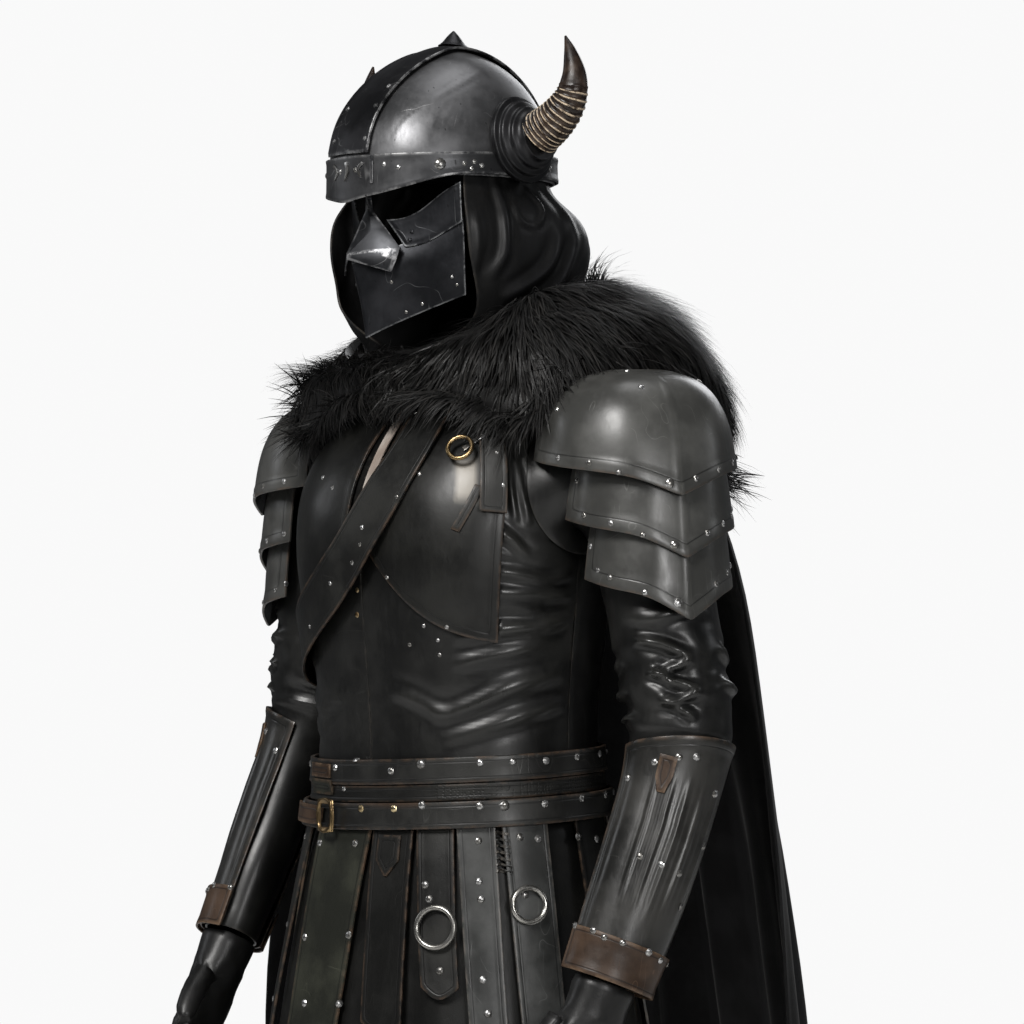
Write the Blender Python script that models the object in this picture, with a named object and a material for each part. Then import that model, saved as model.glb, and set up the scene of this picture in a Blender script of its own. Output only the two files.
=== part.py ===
"""A leather suit of armour, standing as worn, with nobody in it.

Metres, +Z up. The suit faces -Y and its left side is +X. The origin is on the
midline at the height where the neck meets the shoulders, where the wearer's
shoulders carry it. Every piece of cloth, leather or plate is a wall of its own
thickness, and what lies on a panel is made from that panel's form, moved out.
"""

import math
from collections import namedtuple

import bmesh
import bpy
from mathutils import Matrix, Vector

# ---------------------------------------------------------------- sizes
LEATHER = 0.0025        # jerkin, sleeves and gloves
PLATE = 0.003           # hardened leather plates
STRAP = 0.003
CLOAK = 0.003
STEEL = 0.002
LAYER = 0.0013          # clear space between layers that lie on each other

TURN_OF_HEAD = math.radians(-7)
HEAD_CENTRE = Vector((0, -0.038, 0.254))
BOWL_HALF_WIDTH = 0.110
BOWL_HALF_LENGTH = 0.127
BOWL_HEIGHT = 0.127
BOWL_RIM = -0.018
BOWL_FRONT_SLOPE = 1.5  # 1 is an even egg; more lays the brow of the bowl back

MATERIALS = {
    "jerkin_leather": ((0.020, 0.020, 0.021), 0.45, 0.0),
    "plate_leather": ((0.045, 0.046, 0.047), 0.38, 0.0),
    "strap_leather": ((0.040, 0.040, 0.038), 0.50, 0.0),
    "brown_leather": ((0.110, 0.065, 0.035), 0.55, 0.0),
    "glove_leather": ((0.012, 0.012, 0.013), 0.40, 0.0),
    "hood_leather": ((0.014, 0.014, 0.016), 0.50, 0.0),
    "helmet_steel": ((0.080, 0.082, 0.088), 0.32, 0.9),
    "mask_steel": ((0.050, 0.052, 0.058), 0.36, 0.9),
    "horn": ((0.070, 0.045, 0.028), 0.40, 0.0),
    "fur": ((0.012, 0.011, 0.010), 0.85, 0.0),
    "cape_wool": ((0.008, 0.008, 0.009), 0.90, 0.0),
    "pale_cloth": ((0.420, 0.380, 0.340), 0.80, 0.0),
    "brass": ((0.420, 0.300, 0.120), 0.35, 0.9),
    "ring_steel": ((0.420, 0.410, 0.390), 0.28, 1.0),
}

# ---------------------------------------------------------------- body forms
FormRow = namedtuple("FormRow", "height half_width front back centre_y")

TORSO_ROWS = (
    FormRow(-0.500, 0.176, 0.142, 0.132, -0.010),
    FormRow(-0.420, 0.165, 0.133, 0.120, -0.011),
    FormRow(-0.340, 0.161, 0.132, 0.116, -0.011),
    FormRow(-0.250, 0.168, 0.140, 0.124, -0.011),
    FormRow(-0.160, 0.178, 0.149, 0.134, -0.009),
    FormRow(-0.095, 0.181, 0.146, 0.137, -0.002),
    FormRow(-0.050, 0.170, 0.128, 0.128, 0.003),
    FormRow(-0.015, 0.138, 0.104, 0.110, 0.006),
    FormRow(0.015, 0.100, 0.088, 0.090, 0.005),
    FormRow(0.045, 0.079, 0.079, 0.079, 0.003),
)

SKIRT_ROWS = (
    FormRow(-0.800, 0.232, 0.200, 0.196, -0.012),
    FormRow(-0.670, 0.213, 0.182, 0.176, -0.012),
    FormRow(-0.560, 0.194, 0.163, 0.156, -0.012),
    FormRow(-0.480, 0.180, 0.149, 0.140, -0.011),
    FormRow(-0.440, 0.1712, 0.1388, 0.1262, -0.011),
)

HOOD_ROWS = (
    FormRow(0.042, 0.091, 0.089, 0.108, 0.034),
    FormRow(0.075, 0.097, 0.088, 0.118, 0.028),
    FormRow(0.110, 0.107, 0.093, 0.136, 0.018),
    FormRow(0.145, 0.113, 0.103, 0.163, 0.006),
    FormRow(0.173, 0.115, 0.110, 0.172, 0.002),
    FormRow(0.205, 0.112, 0.115, 0.150, 0.0),
    FormRow(0.228, 0.1015, 0.114, 0.120, 0.0),
    FormRow(0.258, 0.0975, 0.109, 0.113, 0.0),
)

CAPE_ROWS = (
    FormRow(-1.150, 0.385, 0.200, 0.330, 0.040),
    FormRow(-0.900, 0.366, 0.200, 0.302, 0.040),
    FormRow(-0.667, 0.347, 0.200, 0.275, 0.040),
    FormRow(-0.460, 0.331, 0.200, 0.249, 0.038),
    FormRow(-0.310, 0.316, 0.200, 0.229, 0.036),
    FormRow(-0.190, 0.300, 0.200, 0.210, 0.034),
    FormRow(-0.100, 0.275, 0.200, 0.186, 0.026),
    FormRow(-0.020, 0.226, 0.200, 0.146, 0.016),
)


def smooth_row(rows, at):
    """The row at a value of the first column, on a smooth curve through the table."""
    first = [row[0] for row in rows]
    at = min(max(at, first[0]), first[-1])
    i = max(k for k in range(len(rows) - 1) if first[k] <= at)
    width = first[i + 1] - first[i]
    t = (at - first[i]) / width
    values = []
    for column in range(1, len(rows[0])):
        here, there = rows[i][column], rows[i + 1][column]
        slope_here = slope_of(rows, first, i, column) * width
        slope_there = slope_of(rows, first, i + 1, column) * width
        values.append(
            here * (2 * t**3 - 3 * t**2 + 1)
            + slope_here * (t**3 - 2 * t**2 + t)
            + there * (3 * t**2 - 2 * t**3)
            + slope_there * (t**3 - t**2)
        )
    return type(rows[0])(at, *values)


def slope_of(rows, first, i, column):
    """How steep one column is at row i, from the rows beside it."""
    low, high = max(i - 1, 0), min(i + 1, len(rows) - 1)
    return (rows[high][column] - rows[low][column]) / (first[high] - first[low])


class Form:
    """A body form: rounded sections stacked up, read by angle from the front and height."""

    SQUARENESS = 2.3

    def __init__(self, rows, ripple=None):
        self.rows = rows
        self.ripple = ripple

    def on_form(self, angle, height):
        row = smooth_row(self.rows, height)
        depth = row.front if math.cos(angle) > 0 else row.back
        across = abs(math.sin(angle)) / row.half_width
        along = abs(math.cos(angle)) / depth
        n = self.SQUARENESS
        radius = (across**n + along**n) ** (-1 / n)
        if self.ripple:
            radius += self.ripple(angle, height)
        return Vector((radius * math.sin(angle), row.centre_y - radius * math.cos(angle), height))

    def point(self, angle, height, out=0.0):
        """The point of the form at an angle and height, moved out square to it."""
        here = self.on_form(angle, height)
        if not out:
            return here
        step, rise = 0.01, 0.003
        along = self.on_form(angle + step, height) - self.on_form(angle - step, height)
        up = self.on_form(angle, height + rise) - self.on_form(angle, height - rise)
        return here + along.cross(up).normalized() * out

    def nearest(self, place, out):
        """The point of the form at the angle and height of a place, moved out."""
        row = smooth_row(self.rows, place.z)
        return self.point(math.atan2(place.x, row.centre_y - place.y), place.z, out)


torso = Form(TORSO_ROWS)
skirt = Form(SKIRT_ROWS)


# ---------------------------------------------------------------- mesh makers
def steps(start, end, count):
    return [start + (end - start) * i / count for i in range(count + 1)]


def mirrored(grid):
    """The same rows on the other side of the midline, still running the same way round."""
    return [[Vector((-p.x, p.y, p.z)) for p in reversed(row)] for row in grid]


def add_object(name, points, faces, slot, parent=None):
    mesh = bpy.data.meshes.new(name)
    mesh.from_pydata([tuple(p) for p in points], [], faces)
    work = bmesh.new()
    work.from_mesh(mesh)
    bmesh.ops.recalc_face_normals(work, faces=work.faces)
    work.to_mesh(mesh)
    work.free()
    mesh.materials.append(bpy.data.materials[slot])
    mesh.shade_smooth()
    mesh.set_sharp_from_angle(angle=math.radians(40))
    made = bpy.data.objects.new(name, mesh)
    made.parent = parent
    bpy.context.scene.collection.objects.link(made)
    return made


def grid_normals(grid, closed, flip):
    """The outward direction at each point of a grid whose rows run from top to bottom."""
    normals = []
    for r, row in enumerate(grid):
        above, below = grid[max(r - 1, 0)], grid[min(r + 1, len(grid) - 1)]
        count = len(row)
        line = []
        for c in range(count):
            before = row[c - 1] if closed or c else row[c]
            after = row[(c + 1) % count] if closed or c < count - 1 else row[c]
            down = below[c] - above[c]
            normal = down.cross(after - before).normalized()
            line.append(-normal if flip else normal)
        normals.append(line)
    return normals


def add_wall(name, grid, thick, slot, closed=False, flip=False, parent=None):
    """A wall whose outer face is the grid and whose inner face lies one thickness in."""
    normals = grid_normals(grid, closed, flip)
    rows, columns = len(grid), len(grid[0])
    outer = [p for row in grid for p in row]
    inner = [p - n * thick for p, n in zip(outer, (n for row in normals for n in row))]
    shift = rows * columns
    faces = []
    spans = columns if closed else columns - 1
    for r in range(rows - 1):
        for c in range(spans):
            a, b = r * columns + c, r * columns + (c + 1) % columns
            quad = (a, b, b + columns, a + columns)
            faces.append(quad)
            faces.append(tuple(reversed([i + shift for i in quad])))
    for c in range(spans):
        for r in (0, rows - 1):
            a, b = r * columns + c, r * columns + (c + 1) % columns
            faces.append((a, b, b + shift, a + shift))
    if not closed:
        for r in range(rows - 1):
            for c in (0, columns - 1):
                a, b = r * columns + c, (r + 1) * columns + c
                faces.append((a, b, b + shift, a + shift))
    return add_object(name, outer + inner, faces, slot, parent)


def add_loft(name, rings, slot, round_path=False, parent=None):
    """A solid through closed rings, with flat ends or joined end to start."""
    count = len(rings[0])
    points = [p for ring in rings for p in ring]
    faces = []
    pairs = len(rings) if round_path else len(rings) - 1
    for r in range(pairs):
        following = (r + 1) % len(rings)
        for c in range(count):
            d = (c + 1) % count
            faces.append((r * count + c, r * count + d, following * count + d, following * count + c))
    if not round_path:
        faces.append(tuple(range(count)))
        faces.append(tuple(range((len(rings) - 1) * count, len(rings) * count)))
    return add_object(name, points, faces, slot, parent)


def ring_about(centre, axis_a, axis_b, radius_a, radius_b, count):
    return [
        centre
        + axis_a * radius_a * math.cos(2 * math.pi * i / count)
        + axis_b * radius_b * math.sin(2 * math.pi * i / count)
        for i in range(count)
    ]


def add_ring(name, centre, axis_a, axis_b, radius, wire, slot, parent=None, count=16, sides=6):
    """A round ring of wire lying in the plane of two directions."""
    normal = axis_a.cross(axis_b)
    rings = []
    for i in range(count):
        turn = 2 * math.pi * i / count
        spoke = axis_a * math.cos(turn) + axis_b * math.sin(turn)
        rings.append(ring_about(centre + spoke * radius, spoke, normal, wire, wire, sides))
    return add_loft(name, rings, slot, round_path=True, parent=parent)


def form_grid(form, heights, angles_at, out):
    """Rows from the top down; angles_at gives the angles of the row at a height."""
    return [[form.point(a, h, out) for a in angles_at(h)] for h in heights]


def strap_grid(form, path, half_width, length_steps, across=2):
    """A strap on a form, along a path of (angle in degrees, height, distance out) rows."""
    centres, outs = [], []
    for t in steps(0, 1, length_steps):
        here = smooth_row(path, t)
        centres.append(form.point(math.radians(here.angle), here.height, here.out))
        outs.append(here.out)
    grid = []
    for i, (centre, out) in enumerate(zip(centres, outs)):
        along = centres[min(i + 1, length_steps)] - centres[max(i - 1, 0)]
        outward = form.nearest(centre, out + 0.01) - form.nearest(centre, out)
        side = along.cross(outward).normalized()
        row = []
        for share in steps(1, -1, across):
            row.append(form.nearest(centre + side * half_width * share, out))
        grid.append(row)
    return grid


LoopRow = namedtuple("LoopRow", "along angle height out")
SweepRow = namedtuple("SweepRow", "along x y z wide thin")


# ---------------------------------------------------------------- scene start
def clear_scene():
    for old in list(bpy.data.objects):
        bpy.data.objects.remove(old)


def make_materials():
    for name, (colour, roughness, metallic) in MATERIALS.items():
        material = bpy.data.materials.new(name)
        material.use_nodes = True
        shader = material.node_tree.nodes["Principled BSDF"]
        shader.inputs["Base Color"].default_value = (*colour, 1)
        shader.inputs["Roughness"].default_value = roughness
        shader.inputs["Metallic"].default_value = metallic


def make_head():
    """The empty that turns the whole head a little to the suit's right."""
    head = bpy.data.objects.new("head", None)
    head.location = HEAD_CENTRE
    head.rotation_euler = (0, 0, TURN_OF_HEAD)
    bpy.context.scene.collection.objects.link(head)
    return head


# ---------------------------------------------------------------- helmet
def bowl_normal(place):
    """The outward direction of the bowl at one of its points."""
    height = max(place.z, 0)
    shrink = math.sqrt(max(1 - (height / BOWL_HEIGHT) ** 2, 1e-9))
    slope = BOWL_FRONT_SLOPE if place.y < 0 else 1.0
    along = (place.y / BOWL_HALF_LENGTH) ** 2
    steep = 2 * height / BOWL_HEIGHT**2 * (1 + along * (slope - 1) * shrink ** (-2 * slope))
    across = 2 * place.x / BOWL_HALF_WIDTH**2
    forward = 2 * place.y / BOWL_HALF_LENGTH**2 * shrink ** (2 - 2 * slope)
    return Vector((across, forward, steep)).normalized()


def bowl_point(angle, height, out=0.0):
    """The bowl: half an egg above its widest line, straight sides below it."""
    shrink = math.sqrt(max(1 - (max(height, 0) / BOWL_HEIGHT) ** 2, 0.0))
    slope = BOWL_FRONT_SLOPE if math.cos(angle) > 0 else 1.0
    x = BOWL_HALF_WIDTH * shrink * math.sin(angle)
    y = -BOWL_HALF_LENGTH * shrink**slope * math.cos(angle)
    place = Vector((x, y, height))
    return place + bowl_normal(place) * out


def add_dome(name, heights, thick, slot, parent, count=24):
    """A closed cap: rings from the top down, with one point at the very top of each face."""
    points, faces = [], []
    for out in (0.0, -thick):
        start = len(points)
        points.append(Vector((0, 0, BOWL_HEIGHT + out)))
        for height in heights:
            for i in range(count):
                points.append(bowl_point(2 * math.pi * i / count, height, out))
        for i in range(count):
            faces.append((start, start + 1 + i, start + 1 + (i + 1) % count))
        for r in range(len(heights) - 1):
            for i in range(count):
                a, b = start + 1 + r * count + i, start + 1 + r * count + (i + 1) % count
                faces.append((a, b, b + count, a + count))
    layer = 1 + len(heights) * count
    last = 1 + (len(heights) - 1) * count
    for i in range(count):
        a, b = last + i, last + (i + 1) % count
        faces.append((a, b, b + layer, a + layer))
    return add_object(name, points, faces, slot, parent)


def make_bowl(head):
    heights = [BOWL_HEIGHT * math.cos(math.radians(a)) for a in (16, 32, 48, 64, 78, 90)]
    add_dome("helmet_bowl", heights + [BOWL_RIM], STEEL, "helmet_steel", head)


BAND_SIDE_TOP = 0.0115
BAND_FRONT_TOP = 0.0035
BAND_SIDE_FOOT = -0.016
BAND_PEAK_DROP = 0.0265
BAND_PEAK_SPREAD = math.radians(68)
BAND_POINT_DROP = 0.0025
BAND_POINT_SPREAD = math.radians(12)


def brow_band_top(angle):
    return BAND_FRONT_TOP + (BAND_SIDE_TOP - BAND_FRONT_TOP) * (1 - math.cos(angle)) / 2


def brow_band_foot(angle):
    """The lower edge dips broadly over the brow and ends in a small point over the nose."""
    from_front = abs(math.remainder(angle, 2 * math.pi))
    share = max(1 - from_front / BAND_PEAK_SPREAD, 0)
    point = max(1 - from_front / BAND_POINT_SPREAD, 0)
    dip = BAND_PEAK_DROP * math.sin(math.pi / 2 * share) ** 1.3 + BAND_POINT_DROP * point
    return BAND_SIDE_FOOT - dip


def make_brow_band(head):
    angles = steps(0, 2 * math.pi, 30)[:-1]
    grid = []
    for edge in (brow_band_top, brow_band_foot):
        grid.append([bowl_point(angle, edge(angle), LAYER + STEEL) for angle in angles])
    add_wall("helmet_brow_band", grid, STEEL, "helmet_steel", closed=True, parent=head)


COMB_HALF_WIDTH = 0.034
COMB_OUT = LAYER + STEEL + 0.0006
COMB_FRONT_FOOT = math.radians(87.2)
COMB_BACK_FOOT = math.radians(-83.5)


def comb_point(across, turn, out):
    """A point of the bowl over the comb: across from the midline, turn from the top."""
    flat = math.sqrt(1 - (across / BOWL_HALF_WIDTH) ** 2)
    y = -BOWL_HALF_LENGTH * flat * math.sin(turn)
    z = BOWL_HEIGHT * flat * math.cos(turn)
    if y < 0:
        y *= math.sqrt(max(1 - (z / BOWL_HEIGHT) ** 2, 0)) ** (BOWL_FRONT_SLOPE - 1)
    place = Vector((across, y, z))
    return place + bowl_normal(place) * out


def make_comb(head):
    """A broad strip over the bowl from brow to nape, with raised edges."""
    across = [(-1, 0.0), (-0.86, 0.0012), (-0.78, 0.0), (0, 0.0), (0.78, 0.0), (0.86, 0.0012), (1, 0.0)]
    grid = []
    for turn in steps(COMB_FRONT_FOOT, COMB_BACK_FOOT, 12):
        row = []
        for share, raised in across:
            row.append(comb_point(COMB_HALF_WIDTH * share, turn, COMB_OUT + raised))
        grid.append(row)
    add_wall("helmet_comb", grid, STEEL, "helmet_steel", flip=True, parent=head)


FINIAL_SETBACK = 0.0150
FinialRow = namedtuple("FinialRow", "height radius")
FINIAL_ROWS = (
    FinialRow(0.0, 0.0170),
    FinialRow(0.0030, 0.0128),
    FinialRow(0.0075, 0.0090),
    FinialRow(0.0120, 0.0050),
    FinialRow(0.0160, 0.0010),
)


def bowl_height(x, y):
    """The height of the bowl over a place near its top."""
    slope = BOWL_FRONT_SLOPE if y < 0 else 1.0
    along = (abs(y) / BOWL_HALF_LENGTH) ** (1 / slope)
    return BOWL_HEIGHT * math.sqrt(1 - (x / BOWL_HALF_WIDTH) ** 2 - along**2)


def make_finial(head):
    """A small flared spike whose foot follows the comb."""
    rings = []
    for row in FINIAL_ROWS:
        centre = Vector((0, FINIAL_SETBACK, 0))
        ring = ring_about(centre, Vector((1, 0, 0)), Vector((0, 1, 0)), row.radius, row.radius, 12)
        for p in ring:
            p.z = bowl_height(p.x, p.y) + COMB_OUT + 0.0012 + row.height
        rings.append(ring)
    add_loft("helmet_finial", rings, "helmet_steel", parent=head)


HORN_ANGLE = math.radians(100.5)
BOSS_HEIGHT = 0.021
BossRow = namedtuple("BossRow", "radius out")
BOSS_ROWS = (
    BossRow(0.012, 0.0050),
    BossRow(0.030, 0.0050),
    BossRow(0.045, 0.0050),
    BossRow(0.045, 0.0084),
    BossRow(0.039, 0.0096),
    BossRow(0.0385, 0.0130),
    BossRow(0.0325, 0.0160),
    BossRow(0.0320, 0.0200),
    BossRow(0.0270, 0.0235),
    BossRow(0.0258, 0.0290),
)
HornRow = namedtuple("HornRow", "along reach height radius")
HORN_ROWS = (
    HornRow(0.00, 0.1385, 0.0270, 0.0230),
    HornRow(0.25, 0.1625, 0.0415, 0.0208),
    HornRow(0.45, 0.1800, 0.0600, 0.0176),
    HornRow(0.65, 0.1858, 0.0830, 0.0132),
    HornRow(0.85, 0.1808, 0.1075, 0.0072),
    HornRow(1.00, 0.1735, 0.1262, 0.0012),
)
HORN_SIDES = 10
HORN_RINGS = 10


def boss_frame(side):
    """Centre and the three directions of a horn boss; side is 1 for left, -1 for right."""
    centre = bowl_point(side * HORN_ANGLE, BOSS_HEIGHT)
    outward = (bowl_point(side * HORN_ANGLE, BOSS_HEIGHT, 0.01) - centre).normalized()
    level = Vector((0, 0, 1)).cross(outward).normalized()
    return centre, outward, level, outward.cross(level)


def bowl_nearest(place, out):
    """The bowl point at the angle and height of a place, moved out."""
    angle = math.atan2(place.x / BOWL_HALF_WIDTH, -place.y / BOWL_HALF_LENGTH)
    return bowl_point(angle, place.z, out)


def make_horn_boss(name, side, head):
    """Stepped cone whose foot follows the bowl and whose top is flat for the horn."""
    centre, outward, level, up = boss_frame(side)
    rings = []
    for row in BOSS_ROWS:
        flat = ring_about(centre, level, up, row.radius, row.radius, 16)
        share = (row.out - BOSS_ROWS[0].out) / (BOSS_ROWS[-1].out - BOSS_ROWS[0].out)
        ring = []
        for p in flat:
            on_bowl = bowl_nearest(p, row.out)
            ring.append(on_bowl.lerp(p + outward * row.out, share**0.5))
        rings.append(ring)
    add_loft(name, rings, "helmet_steel", parent=head)


def horn_centre(side, along):
    row = smooth_row(HORN_ROWS, along)
    spoke = Vector((math.sin(side * HORN_ANGLE), -math.cos(HORN_ANGLE), 0))
    return spoke * row.reach + Vector((0, 0, row.height)), row.radius


def make_horn(name, side, head):
    spoke = Vector((math.sin(side * HORN_ANGLE), -math.cos(HORN_ANGLE), 0))
    flat = Vector((-spoke.y, spoke.x, 0))
    rings = []
    for along in steps(0, 1, HORN_RINGS):
        centre, radius = horn_centre(side, along)
        ahead, _ = horn_centre(side, min(along + 0.02, 1))
        behind, _ = horn_centre(side, max(along - 0.02, 0))
        direction = (ahead - behind).normalized()
        if along == 0:
            direction = boss_frame(side)[1]
        across = direction.cross(flat).normalized()
        rings.append(ring_about(centre, flat, across, radius, radius, HORN_SIDES))
    add_loft(name, rings, "horn", parent=head)


# ---------------------------------------------------------------- mask
MaskRow = namedtuple("MaskRow", "height ridge side_width side_back")
MASK_ROWS = (
    MaskRow(-0.186, -0.101, 0.081, -0.032),
    MaskRow(-0.140, -0.1085, 0.089, -0.036),
    MaskRow(-0.105, -0.1195, 0.093, -0.041),
    MaskRow(-0.085, -0.106, 0.095, -0.043),
    MaskRow(-0.055, -0.098, 0.096, -0.046),
    MaskRow(-0.015, -0.097, 0.096, -0.048),
)


def mask_point(across, height, out=0.0):
    """The mask's wedge: across runs from -1 to 1 between its two side edges."""
    row = smooth_row(MASK_ROWS, height)
    bend = abs(across) ** 1.12
    y = row.ridge + (row.side_back - row.ridge) * bend
    slope = Vector((row.side_width, row.side_back - row.ridge, 0)).normalized()
    normal = Vector((slope.y * math.copysign(1, across), -slope.x, 0))
    if across == 0:
        normal = Vector((0, -1, 0))
    return Vector((row.side_width * across, y, height)) + normal.normalized() * out


def mask_hem(across):
    return -0.186 + 0.044 * abs(across)


def mask_shoulder(across):
    """Top edge of the lower mask: under the nose plate, then up to the temples."""
    return -0.107 + 0.046 * abs(across)


def make_lower_mask(head):
    columns = (-1, -0.75, -0.5, -0.25, 0, 0.25, 0.5, 0.75, 1)
    grid = []
    for share in steps(0, 1, 3):
        row = []
        for across in columns:
            top, hem = mask_shoulder(across), mask_hem(across)
            row.append(mask_point(across, top + (hem - top) * share))
        grid.append(row)
    add_wall("mask_lower", grid, STEEL, "mask_steel", parent=head)


GuardRow = namedtuple("GuardRow", "along top foot")
GUARD_ROWS = (
    GuardRow(0.00, -0.0610, -0.0910),
    GuardRow(0.25, -0.0600, -0.0890),
    GuardRow(0.50, -0.0505, -0.0830),
    GuardRow(0.75, -0.0350, -0.0740),
    GuardRow(1.00, -0.0240, -0.0660),
)
GUARD_INNER_TOP = 0.22
GUARD_INNER_FOOT = 0.46
GUARD_OUTER = 1.0


def make_cheek_guard(name, side, head):
    """The crescent under one eye, lapped over the lower mask; its inner edge follows the nose."""
    grid = []
    for share in (0, 0.5, 1):
        inner = GUARD_INNER_TOP + (GUARD_INNER_FOOT - GUARD_INNER_TOP) * share
        row = []
        for along in steps(0, 1.0, 6):
            guard = smooth_row(GUARD_ROWS, along)
            height = guard.top + (guard.foot - guard.top) * share
            row.append(mask_point(inner + (GUARD_OUTER - inner) * along, height, LAYER + STEEL))
        grid.append(row)
    if side < 0:
        grid = mirrored(grid)
    add_wall(name, grid, STEEL, "mask_steel", parent=head)


NoseRow = namedtuple("NoseRow", "ridge_forward ridge_height half_width wing_forward wing_height")
NOSE_ROWS = (
    NoseRow(0.1010, -0.0300, 0.0045, 0.0985, -0.0320),
    NoseRow(0.1000, -0.0490, 0.0065, 0.0970, -0.0510),
    NoseRow(0.1255, -0.0985, 0.0480, 0.0915, -0.0925),
    NoseRow(0.1260, -0.1040, 0.0420, 0.0990, -0.1180),
)


def make_nose(head):
    """A pointed beak of four flat facets over the nose."""
    grid = []
    for row in NOSE_ROWS:
        left = Vector((-row.half_width, -row.wing_forward, row.wing_height))
        ridge = Vector((0, -row.ridge_forward, row.ridge_height))
        right = Vector((row.half_width, -row.wing_forward, row.wing_height))
        grid.append([left, ridge, right])
    add_wall("mask_nose", grid, STEEL, "mask_steel", parent=head)


# ---------------------------------------------------------------- hood
OpeningRow = namedtuple("OpeningRow", "height left right")
HOOD_OPENING = (
    OpeningRow(0.042, 5.0, 5.0),
    OpeningRow(0.058, 22.0, 18.0),
    OpeningRow(0.082, 52.0, 42.0),
    OpeningRow(0.110, 61.0, 55.0),
    OpeningRow(0.170, 64.0, 60.0),
    OpeningRow(0.226, 65.0, 66.0),
    OpeningRow(0.258, 65.0, 67.0),
)


HOOD_TURNED = 0.200      # above this height the hood has turned with the head
FlareRow = namedtuple("FlareRow", "height out")
HOOD_FLARE = (             # how far the right edge of the face opening stands out
    FlareRow(0.042, 0.0000),
    FlareRow(0.060, 0.0100),
    FlareRow(0.080, 0.0210),
    FlareRow(0.104, 0.0250),
    FlareRow(0.128, 0.0200),
    FlareRow(0.153, 0.0165),
    FlareRow(0.203, 0.0155),
    FlareRow(0.226, 0.0104),
    FlareRow(0.246, 0.0000),
    FlareRow(0.258, 0.0000),
)


def hood_flare(angle, height):
    """The right edge of the face opening stands out round the mask."""
    from_edge = (math.degrees(angle) % 360 - 302) / 26
    return smooth_row(HOOD_FLARE, height).out * math.exp(-from_edge * from_edge)


hood_form = Form(HOOD_ROWS, hood_flare)


def make_hood():
    """The coif: open at the face, closed again under the chin, loose at the nape."""
    heights = (0.246, 0.226, 0.203, 0.178, 0.153, 0.128, 0.104, 0.080, 0.060, 0.042)

    def angles(height):
        edge = smooth_row(HOOD_OPENING, height)
        return steps(math.radians(edge.left), math.radians(360 - edge.right), 20)

    grid = form_grid(hood_form, heights, angles, 0.0)
    turn = Matrix.Rotation(TURN_OF_HEAD, 3, "Z")
    for row in grid:
        for i, place in enumerate(row):
            share = min((place.z - heights[-1]) / (HOOD_TURNED - heights[-1]), 1)
            turned = turn @ place
            row[i] = place.lerp(turned, share) + Vector((HEAD_CENTRE.x, HEAD_CENTRE.y, 0))
    add_wall("hood", grid, LEATHER, "hood_leather")


# ---------------------------------------------------------------- jerkin
ARMHOLE_TOP = -0.004
ARMHOLE_FOOT = -0.155
ARMHOLE_HALF_ANGLE = math.radians(21)
NECK_SLIT_FOOT = -0.104
NECK_SLIT_HALF_ANGLE = math.radians(9)
JERKIN_HEIGHTS = (
    0.045, 0.022, ARMHOLE_TOP, -0.022, -0.045, -0.080, -0.115, -0.140,
    ARMHOLE_FOOT, -0.210, -0.280, -0.350, -0.400,
)
JERKIN_HEM = -0.4405
SEAM_ANGLE = 0.0030


def armhole_cut(height):
    """How far each panel stops short of the side seam, to leave the armhole open."""
    middle, reach = (ARMHOLE_TOP + ARMHOLE_FOOT) / 2, (ARMHOLE_TOP - ARMHOLE_FOOT) / 2
    return ARMHOLE_HALF_ANGLE * math.sqrt(max(1 - ((height - middle) / reach) ** 2, 0))


def neck_cut(height):
    """The front edges part from the foot of the neck slit upwards."""
    return NECK_SLIT_HALF_ANGLE * max(height - NECK_SLIT_FOOT, 0) / (0.045 - NECK_SLIT_FOOT)


def make_jerkin():
    def front_angles(height):
        return steps(SEAM_ANGLE + neck_cut(height), math.pi / 2 - SEAM_ANGLE - armhole_cut(height), 6)

    def back_angles(height):
        edge = math.pi / 2 + SEAM_ANGLE + armhole_cut(height)
        return steps(edge, 2 * math.pi - edge, 14)

    def hem(angles):
        return [torso.point(angle, JERKIN_HEM + belt_tilt(angle)) for angle in angles]

    left = form_grid(torso, JERKIN_HEIGHTS, front_angles, 0.0)
    right = mirrored(left)
    back = form_grid(torso, JERKIN_HEIGHTS, back_angles, 0.0)
    left.append(hem(front_angles(JERKIN_HEM)))
    right.append(hem([-angle for angle in reversed(front_angles(JERKIN_HEM))]))
    back.append(hem(back_angles(JERKIN_HEM)))
    add_wall("jerkin_front_l", left, LEATHER, "jerkin_leather")
    add_wall("jerkin_front_r", right, LEATHER, "jerkin_leather")
    add_wall("jerkin_back", back, LEATHER, "jerkin_leather")


NECK_STRIP_HALF_WIDTH = 0.006
NECK_STRIP_THICK = 0.0012
NECK_STRIP_OUT = LAYER + NECK_STRIP_THICK


def make_neck_strip():
    """The pale strip that shows along the slit of the neck."""
    path = (LoopRow(0, 0, -0.004, NECK_STRIP_OUT), LoopRow(1, 0, -0.104, NECK_STRIP_OUT))
    grid = strap_grid(torso, path, NECK_STRIP_HALF_WIDTH, 6)
    add_wall("neck_strip", grid, NECK_STRIP_THICK, "pale_cloth")


BREAST_TOP = -0.004
BREAST_OUT = LAYER + PLATE + 0.0006
BREAST_INNER_ANGLE = math.radians(7)
BREAST_OUTER_ANGLE = math.radians(59)


def breast_foot(angle):
    """The lower edge falls away from the breastbone to the flank."""
    share = (angle - BREAST_INNER_ANGLE) / (BREAST_OUTER_ANGLE - BREAST_INNER_ANGLE)
    return -0.160 - 0.090 * share - 0.020 * math.sin(math.pi * share)


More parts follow.
